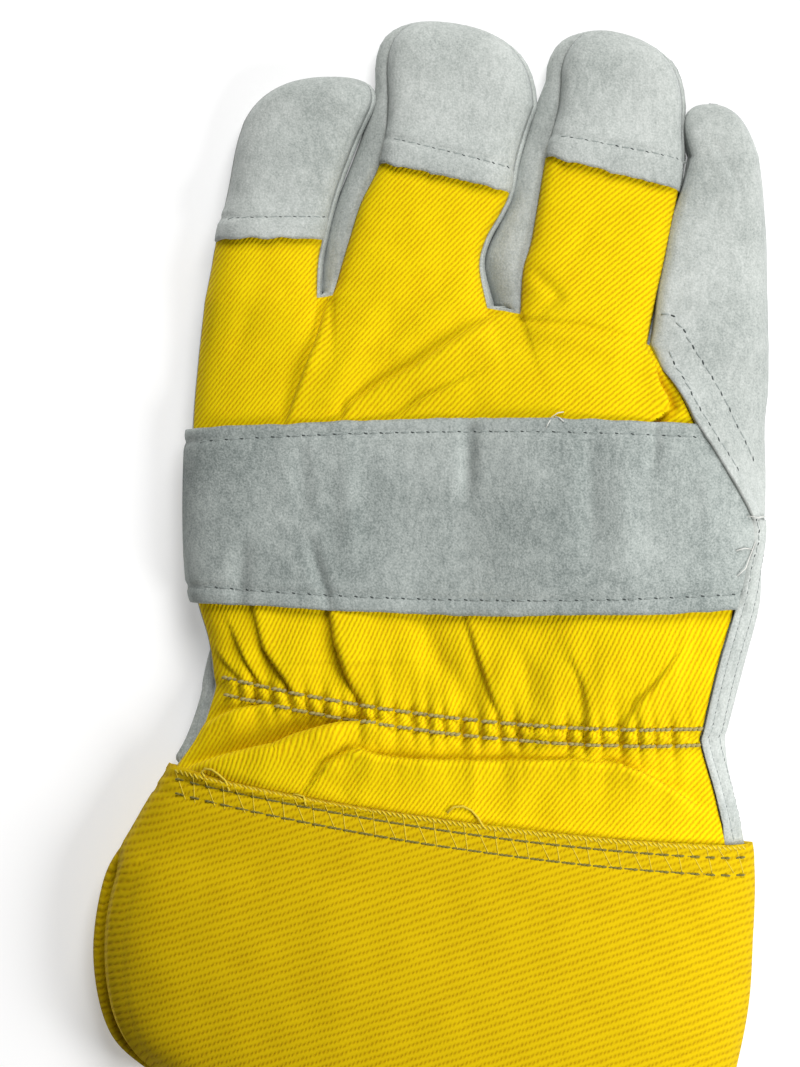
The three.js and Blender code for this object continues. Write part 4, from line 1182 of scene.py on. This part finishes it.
palm = new_grid(split_columns(0, LOW_LAST - 1, SPLIT), hand_places("tail", "crotch", PALM_STEP), palm_point)
hole = [face for face in palm.faces if in_thumb_hole(*face.calc_center_median()[:2])]
bmesh.ops.delete(palm, geom=hole, context="FACES")
sheets = [palm]
for name, finger in FINGERS.items():
    places = [*finger_places(name, 0, finger["last"], FRONT_STEP), *rounded_end(name)]
    width = finger["low_columns"] - (1 if name == "index" else 0)
    sheets.append(new_grid(split_columns(0, width, SPLIT), places, lambda c, p: lifted(
        finger_low(name, c / finger["low_columns"], p), UNDER_RISE)))
palm = join(*sheets)
bmesh.ops.reverse_faces(palm, faces=palm.faces)
make_piece("palm", palm, "palm_leather", [leather, cut_edge], tips=FINGERS)

# %% [markdown]
# ## Thumb
#
# The thumb leaves its hole downwards, folds forward and lies flat under the palm. It is a tube whose rings
# turn about the crease in front of the hole. Bending a straight tube with a modifier would squeeze the
# inside of the fold into itself.

# %% Thumb
CREASE_RADIUS = 1.6
RIM = THUMB["lift"] - GAP
thumb_way = Vector((*THUMB["tip"], 0)) - Vector((*THUMB["root"], 0))
FOLDED = 1  # places up to this one are in the fold, and then one more unit runs to the tip
THUMB_COLUMNS = 56  # round the tube


def signed_power(value, power):
    return math.copysign(abs(value) ** power, value)


def thumb_point(turn, place):
    forward = thumb_way.normalized()
    across = Vector((-forward.y, forward.x, 0))
    rim_along, rim_across = THUMB["hole_along"] + 1.2, THUMB["hole_across"] + 1.2
    crease = Vector((*THUMB["root"], RIM)) + forward * (rim_along + CREASE_RADIUS)
    bent = smooth(place)
    power = lerp(1, 0.62, bent)
    up_down, sideways = (signed_power(f(2 * math.pi * turn), power) for f in (math.cos, math.sin))
    if place <= FOLDED:
        angle = place * math.pi / 2
        reach = min(CREASE_RADIUS + 2 * rim_along, RIM / max(0.01, math.sin(angle)))
        radial = -forward * math.cos(angle) - Vector((0, 0, math.sin(angle)))
        out = lerp(CREASE_RADIUS, reach, (1 - up_down) / 2)
        return crease + radial * out + across * lerp(rim_across, THUMB["half_width"], bent) * sideways
    share = place - FOLDED
    shrink = max(0.0, 1 - share ** 3) ** (1 / 2.2)
    top = lerp(TIP_EDGE, RIM - CREASE_RADIUS, arch(share, 4))
    bottom = lerp(TIP_EDGE, 0, arch(share, 6))
    p = crease + forward * share * (thumb_way.length - rim_along - CREASE_RADIUS)
    p += across * THUMB["half_width"] * shrink * sideways
    p.z = lerp(bottom, top, (1 + up_down) / 2)
    return p


thumb_places = [*np.linspace(0, 1, 16), *(1 + np.sin(np.linspace(0.08, math.pi / 2, 28)))]
thumb = new_grid(np.linspace(0, 1, THUMB_COLUMNS + 1), thumb_places, thumb_point)
bmesh.ops.remove_doubles(thumb, verts=thumb.verts, dist=WELD)
bmesh.ops.reverse_faces(thumb, faces=thumb.faces)
make_piece("thumb_tube", thumb, "thumb", [leather, cut_edge])

# %% [markdown]
# ## Stitches
#
# Each stitch is one small grain of thread, a stretched sphere with few faces, because there are hundreds. A
# bump in the material could draw them, but they would cast no shadow. A row of stitches is a line in plan.
# Each stitch drops onto the finished piece along a ray, and lies along the line and the surface there.

# %% Surfaces to sew on
bpy.context.view_layer.update()
surfaces = {name: BVHTree.FromObject(piece, bpy.context.evaluated_depsgraph_get())
            for name, piece in pieces.items()}
ABOVE = 100  # a height above the whole glove
print("pieces to sew on", len(surfaces))


def in_frame(x, y, z):
    """A point of the drawing in the frame, in metres."""
    return Vector(((x - GLOVE_CENTRE[0]) * MM, (y - GLOVE_CENTRE[1]) * MM, z * MM))


def drop(x, y, on):
    """The highest point of the named pieces under a place of the drawing, with its normal."""
    start = in_frame(x, y, ABOVE)
    hits = [hit for hit in (surfaces[name].ray_cast(start, Vector((0, 0, -1))) for name in on) if hit[0]]
    return max(hits, key=lambda hit: hit[0].z)[:2] if hits else None


# %% Stitches along a line
PLY_OVERLAP = 1.6  # the plies of a stitch are this much longer than their shares of it


def resample(line, pitch):
    """Points along a line in plan, a pitch apart, each with the direction of the line there."""
    spots = np.array(line)
    length = lengths(spots)

    def at(marks):
        return np.array([np.interp(marks, length, column) for column in spots.T]).T

    count = max(1, int(length[-1] / pitch))
    marks = (np.arange(count) + 0.5) * length[-1] / count
    ways = at(marks + 0.2) - at(marks - 0.2)
    return [(Vector(spot), Vector(way).normalized()) for spot, way in zip(at(marks), ways)]


def grain(bm, place, normal, way, length, thick, height, tilt):
    """One grain of thread on the surface: length along the way, turned by tilt degrees."""
    way = (way - normal * way.dot(normal)).normalized()
    way = Matrix.Rotation(math.radians(tilt), 3, normal) @ way
    axes = Matrix((way, normal.cross(way), normal)).transposed().to_4x4()
    size = Matrix.Diagonal((length / 2 * MM, thick / 2 * MM, thick / 2 * MM, 1))
    move = Matrix.Translation(place + normal * height * MM)
    bmesh.ops.create_icosphere(bm, subdivisions=1, radius=1.0, matrix=move @ axes @ size)


def sew(name, rows, on, material, length, thick, height=0, tilt=0, plies=1):
    """One object with every stitch of the rows, which are lists of places and directions in plan."""
    bm = bmesh.new()
    ply_length = length if plies == 1 else PLY_OVERLAP * length / plies
    for spot, way in (stitch for row in rows for stitch in row):
        hit = drop(*spot, on)
        if hit is None:
            continue
        place, normal = hit
        way = Vector((*way, 0))
        for ply in range(plies):
            offset = way * length / plies * (ply - (plies - 1) / 2) * MM
            grain(bm, place + offset, normal, way, ply_length, thick, height, tilt)
    finish(name, bm, [material])


# %% Threads laid on the surface
THREAD_SIDES = 6


def lay_thread(name, lines, on, material, radius, height):
    """Thin tubes over lines of points (x, y, extra height), dropped onto the named pieces."""
    bm = bmesh.new()
    for line in lines:
        spots = [(drop(x, y, on), extra) for x, y, extra in line]
        centres = [hit[0] + hit[1] * (height + extra) * MM for hit, extra in spots if hit]
        last = len(centres) - 1
        rings = []
        for i, centre in enumerate(centres if last > 0 else []):
            way = (centres[min(i + 1, last)] - centres[max(i - 1, 0)]).normalized()
            side = way.cross(Vector((0, 0, 1))).normalized()
            axes = Matrix((way.cross(side), side, -way)).transposed().to_4x4()
            ring = bmesh.ops.create_circle(bm, cap_ends=i in (0, last), segments=THREAD_SIDES,
                                           radius=radius * MM, matrix=Matrix.Translation(centre) @ axes)
            rings.append(list(dict.fromkeys(edge for v in ring["verts"] for edge in v.link_edges)))
        for ring, following in zip(rings, rings[1:]):
            bmesh.ops.bridge_loops(bm, edges=ring + following)
    bmesh.ops.recalc_face_normals(bm, faces=bm.faces)
    finish(name, bm, [material])


# %% Lines across the glove
def hand_line(place, first, last, up=0, count=60):
    """A line across the hand at one row, moved up along the hand."""
    return [(x, y + up) for x, y, _ in (hand_top(c, place) for c in np.linspace(first, last, count))]


def binding_line(off):
    """A line beside the left edge of the binding."""
    places = np.linspace(ROW["cuff_edge"] + 0.05, ROW["strap_mid"], 80)
    return [(x + off, y) for x, y, _ in (hand_top(STRIP, p) for p in places)]


def shift(row, by):
    """Stitches moved along their own row."""
    return [(spot + way * by, way) for spot, way in row]


# %% Rows of stitches
def sew_leather(name, lines, on, pitch, length, thick, hole=1.2):
    """Thread of the leather's own colour, and at the end of each stitch a dark grain: painted shade of the
    needle hole.
    """
    rows = [resample(line, pitch) for line in lines]
    sew(name, rows, on, leather_thread, length, thick, tilt=4)
    # The dark grains half a stitch on are painted shade of the needle holes; hole is their length.
    sew(name + "_painted_hole_shade", [shift(row, pitch / 2) for row in rows], on, hole_shade, hole, thick * 1.15, -0.08,
        tilt=-14)


sew_leather("strap_stitches", [hand_line(ROW["strap_top"], 0.3, STRIP - 0.2, -STRAP_ROWS[0]),
                               hand_line(ROW["strap_low"], 0.3, STRIP - 0.2, STRAP_ROWS[1])],
            ["strap"], 3.7, 2.6, 0.42)
for name in CLOTH_FINGERS:
    finger = FINGERS[name]
    line = []
    for q in np.linspace(0.04, 0.96, 20):
        hem, ahead = (Vector(finger_top(name, q, finger["hem_row"] + k)[:2]) for k in (0, 1))
        line.append(hem + (ahead - hem).normalized() * lerp(*HEM_STITCH[name], q))
    sew_leather(f"{name}_hem_stitches", [line], [f"{name}_cap"], 3.3, 2.2, 0.38)
sew_leather("patch_stitches", [
    [(56.6, 53), (58.1, 49), (60.5, 44.9), (62.4, 41), (64.8, 37), (67.7, 32.2), (70.1, 28.6), (73.2, 23.8)],
    [(54, 61.4), (57.1, 60.7), (59.5, 58.1), (61.4, 55), (63.4, 51.8), (65.5, 48.5), (67.2, 45.8),
     (69.1, 42.5), (70.8, 39.4), (72.5, 35.8), (74.4, 32.2), (77.3, 26.2)]],
    ["index_leather"], 4, 2.4, 0.5, hole=1.5)
sew_leather("binding_stitches", [binding_line(off) for off in BINDING_ROWS], ["binding", "index_leather"],
            2.9, 1.9, 0.34)


# %% [markdown]
# ### Thread in the cloth
#
# Two rows of heavier thread hold the elastic, with one stitch over each pucker. Two rows hold the cuff, and
# a zigzag thread and short slanting stitches bind its edge. A few loops and ends have come loose. Such a
# thread could be a curve with a round bevel, but it has to follow the cloth. So rings are set along points
# that are dropped onto the cloth, and bridged to a thin tube.

# %% Rows of the elastic
HALF_STITCH = 8  # in points of the row's line


def pucker_stitches(place):
    """One stitch over each pucker of the row, and the last one ends at the binding."""
    line = resample(hand_line(place, 0.1, STRIP, count=200), 0.25)
    puckers = [math.floor(pucker_phase(*spot) - 0.5) for spot, _ in line]
    row = [line[i] for i in range(1, len(line)) if puckers[i] > puckers[i - 1]]
    return row[:-1] + [line[-HALF_STITCH]]


sew("elastic_stitches", [pucker_stitches(ROW[row]) for row in ("elastic_top", "elastic_low")],
    ["cloth_back"], light_thread, 3.5, 0.9, 0.2, tilt=16, plies=3)

# %% Rows of the cuff
upper_edge = hand_line(ROW["cuff_edge"], 0, TOP_LAST, count=120)


def cuff_row(which):
    return [(x, y - cuff_row_depths(hand_share(x, ROW["cuff_edge"]))[which]) for x, y in upper_edge]


sew("cuff_stitches", [resample(cuff_row(which), 3.7) for which in (0, 1)], ["cuff_tube"], olive_thread,
    3.1, 0.6, 0.02, tilt=9, plies=3)

# %% Bound edge of the cuff
zigzag = []
for spot, way in resample(upper_edge, 7):
    for leg in (((-3.4, -0.4), (0.6, -6.6)), ((1.2, -0.6), (3, -6.8))):
        start, end = (spot + way * forward + Vector((-way.y, way.x)) * up for forward, up in leg)
        zigzag.append([(*start.lerp(end, t), 0) for t in np.linspace(0, 1, 9)])
lay_thread("zigzag_thread", zigzag, ["cuff_tube"], yellow_thread, 0.11, 0.05)
sew("cuff_edge_stitches", [resample([(x, y - 0.6) for x, y in upper_edge], 1.2)], ["cuff_tube"],
    yellow_thread, 1.9, 0.5, tilt=-38)

# %% Loops and loose ends
loops = [
    [(-47.8, -52.6), (-48.9, -50.9), (-50.3, -48.9), (-52, -47.7), (-53.6, -47.6), (-54.4, -48.4),
     (-54, -49.9)],
    [(-29.6, -55.9), (-30.2, -54.6), (-31.4, -53.7), (-32.6, -53.5)],
    [(12.6, -61.2), (11.2, -59.2), (9.8, -57.4), (7.8, -56.4), (5.6, -56.6), (4, -58)]]
lay_thread("edge_loops", [[(*p, 0.3) for p in loop] for loop in loops], ["cuff_tube", "cloth_back"],
           yellow_thread, 0.26, 0.2)
lay_thread("loose_threads", [
    [(27.4, 33.6, 0.2), (28.2, 34.8, 0.5), (29, 36, 0.8), (30.4, 37, 0.8), (31.7, 37.3, 0.3)],
    [(29.6, 36.2, 0.4), (30.6, 35.8, 0.3), (31.6, 35, 0.2)],
    [(77.6, 6.5, 0.1), (76.4, 3, 0.5), (74.6, 0.2, 0.6), (72.8, -1.6, 0.2)],
    [(72.6, 4.4, 0.1), (74.6, 5, 0.4), (76.8, 4.6, 0.2)],
    [(75.4, 12.6, 0.2), (77.6, 12.2, 0.7), (80, 12.6, 0.3)]],
    ["strap", "binding", "index_leather", "cloth_back"], white_thread, 0.13, 0.15)

# %% [markdown]
# ## Floor, light and camera
#
# The glove lies on a plain pale surface under soft daylight from the right and from beyond the fingertips,
# seen from straight above. One lamp would leave the folds' far sides black, so a small one draws the folds
# and a large one fills them. The camera covers 192 by 256 mm, and the cuff runs out of its lower edge.

# %% Stage
world = bpy.data.worlds.new("studio")
bpy.context.scene.world = world
world.use_nodes = True
background = world.node_tree.nodes["Background"]
background.inputs["Color"].default_value = hex_colour("FFFFFF")
background.inputs["Strength"].default_value = 0.14
bpy.context.scene.view_settings.view_transform = "Standard"

bpy.ops.mesh.primitive_plane_add(size=2.4)
floor = bpy.context.object
floor.name = "floor"
floor.data.materials.append(new_material("paper_white", {
    "Base Color": hex_colour("D9D9D9"), "Roughness": 0.9, "Emission Color": hex_colour("FFFFFF"),
    "Emission Strength": 0.3})[0])
floor.location.z = -0.4 * MM


def lamp(name, place, size, watts):
    light = bpy.data.lights.new(name, "AREA")
    light.size = size
    light.energy = watts
    made = bpy.data.objects.new(name, light)
    made.location = place
    made.rotation_euler = (-Vector(place)).to_track_quat("-Z", "Y").to_euler()
    bpy.context.scene.collection.objects.link(made)


lamp("window", (0.28, -0.16, 0.28), 0.2, 1.7)
lamp("sky", (0.10, 0.60, 0.56), 0.5, 6.9)

VIEW_CENTRE = (-7.2, 8.5)  # middle of the view, in the drawing
VIEW_HEIGHT = 256.1
CAMERA_DISTANCE = 1000
EYE_LEVEL = 14  # height of the plane that the view's size is measured on
camera_data = bpy.data.cameras.new("camera")
camera_data.sensor_fit = "VERTICAL"
camera_data.angle = 2 * math.atan(VIEW_HEIGHT / 2 / CAMERA_DISTANCE)
camera = bpy.data.objects.new("camera", camera_data)
camera.location = in_frame(*VIEW_CENTRE, CAMERA_DISTANCE + EYE_LEVEL)
bpy.context.scene.collection.objects.link(camera)
bpy.context.scene.camera = camera
print("camera", tuple(camera.location), "and", len(bpy.data.lights), "lamps")
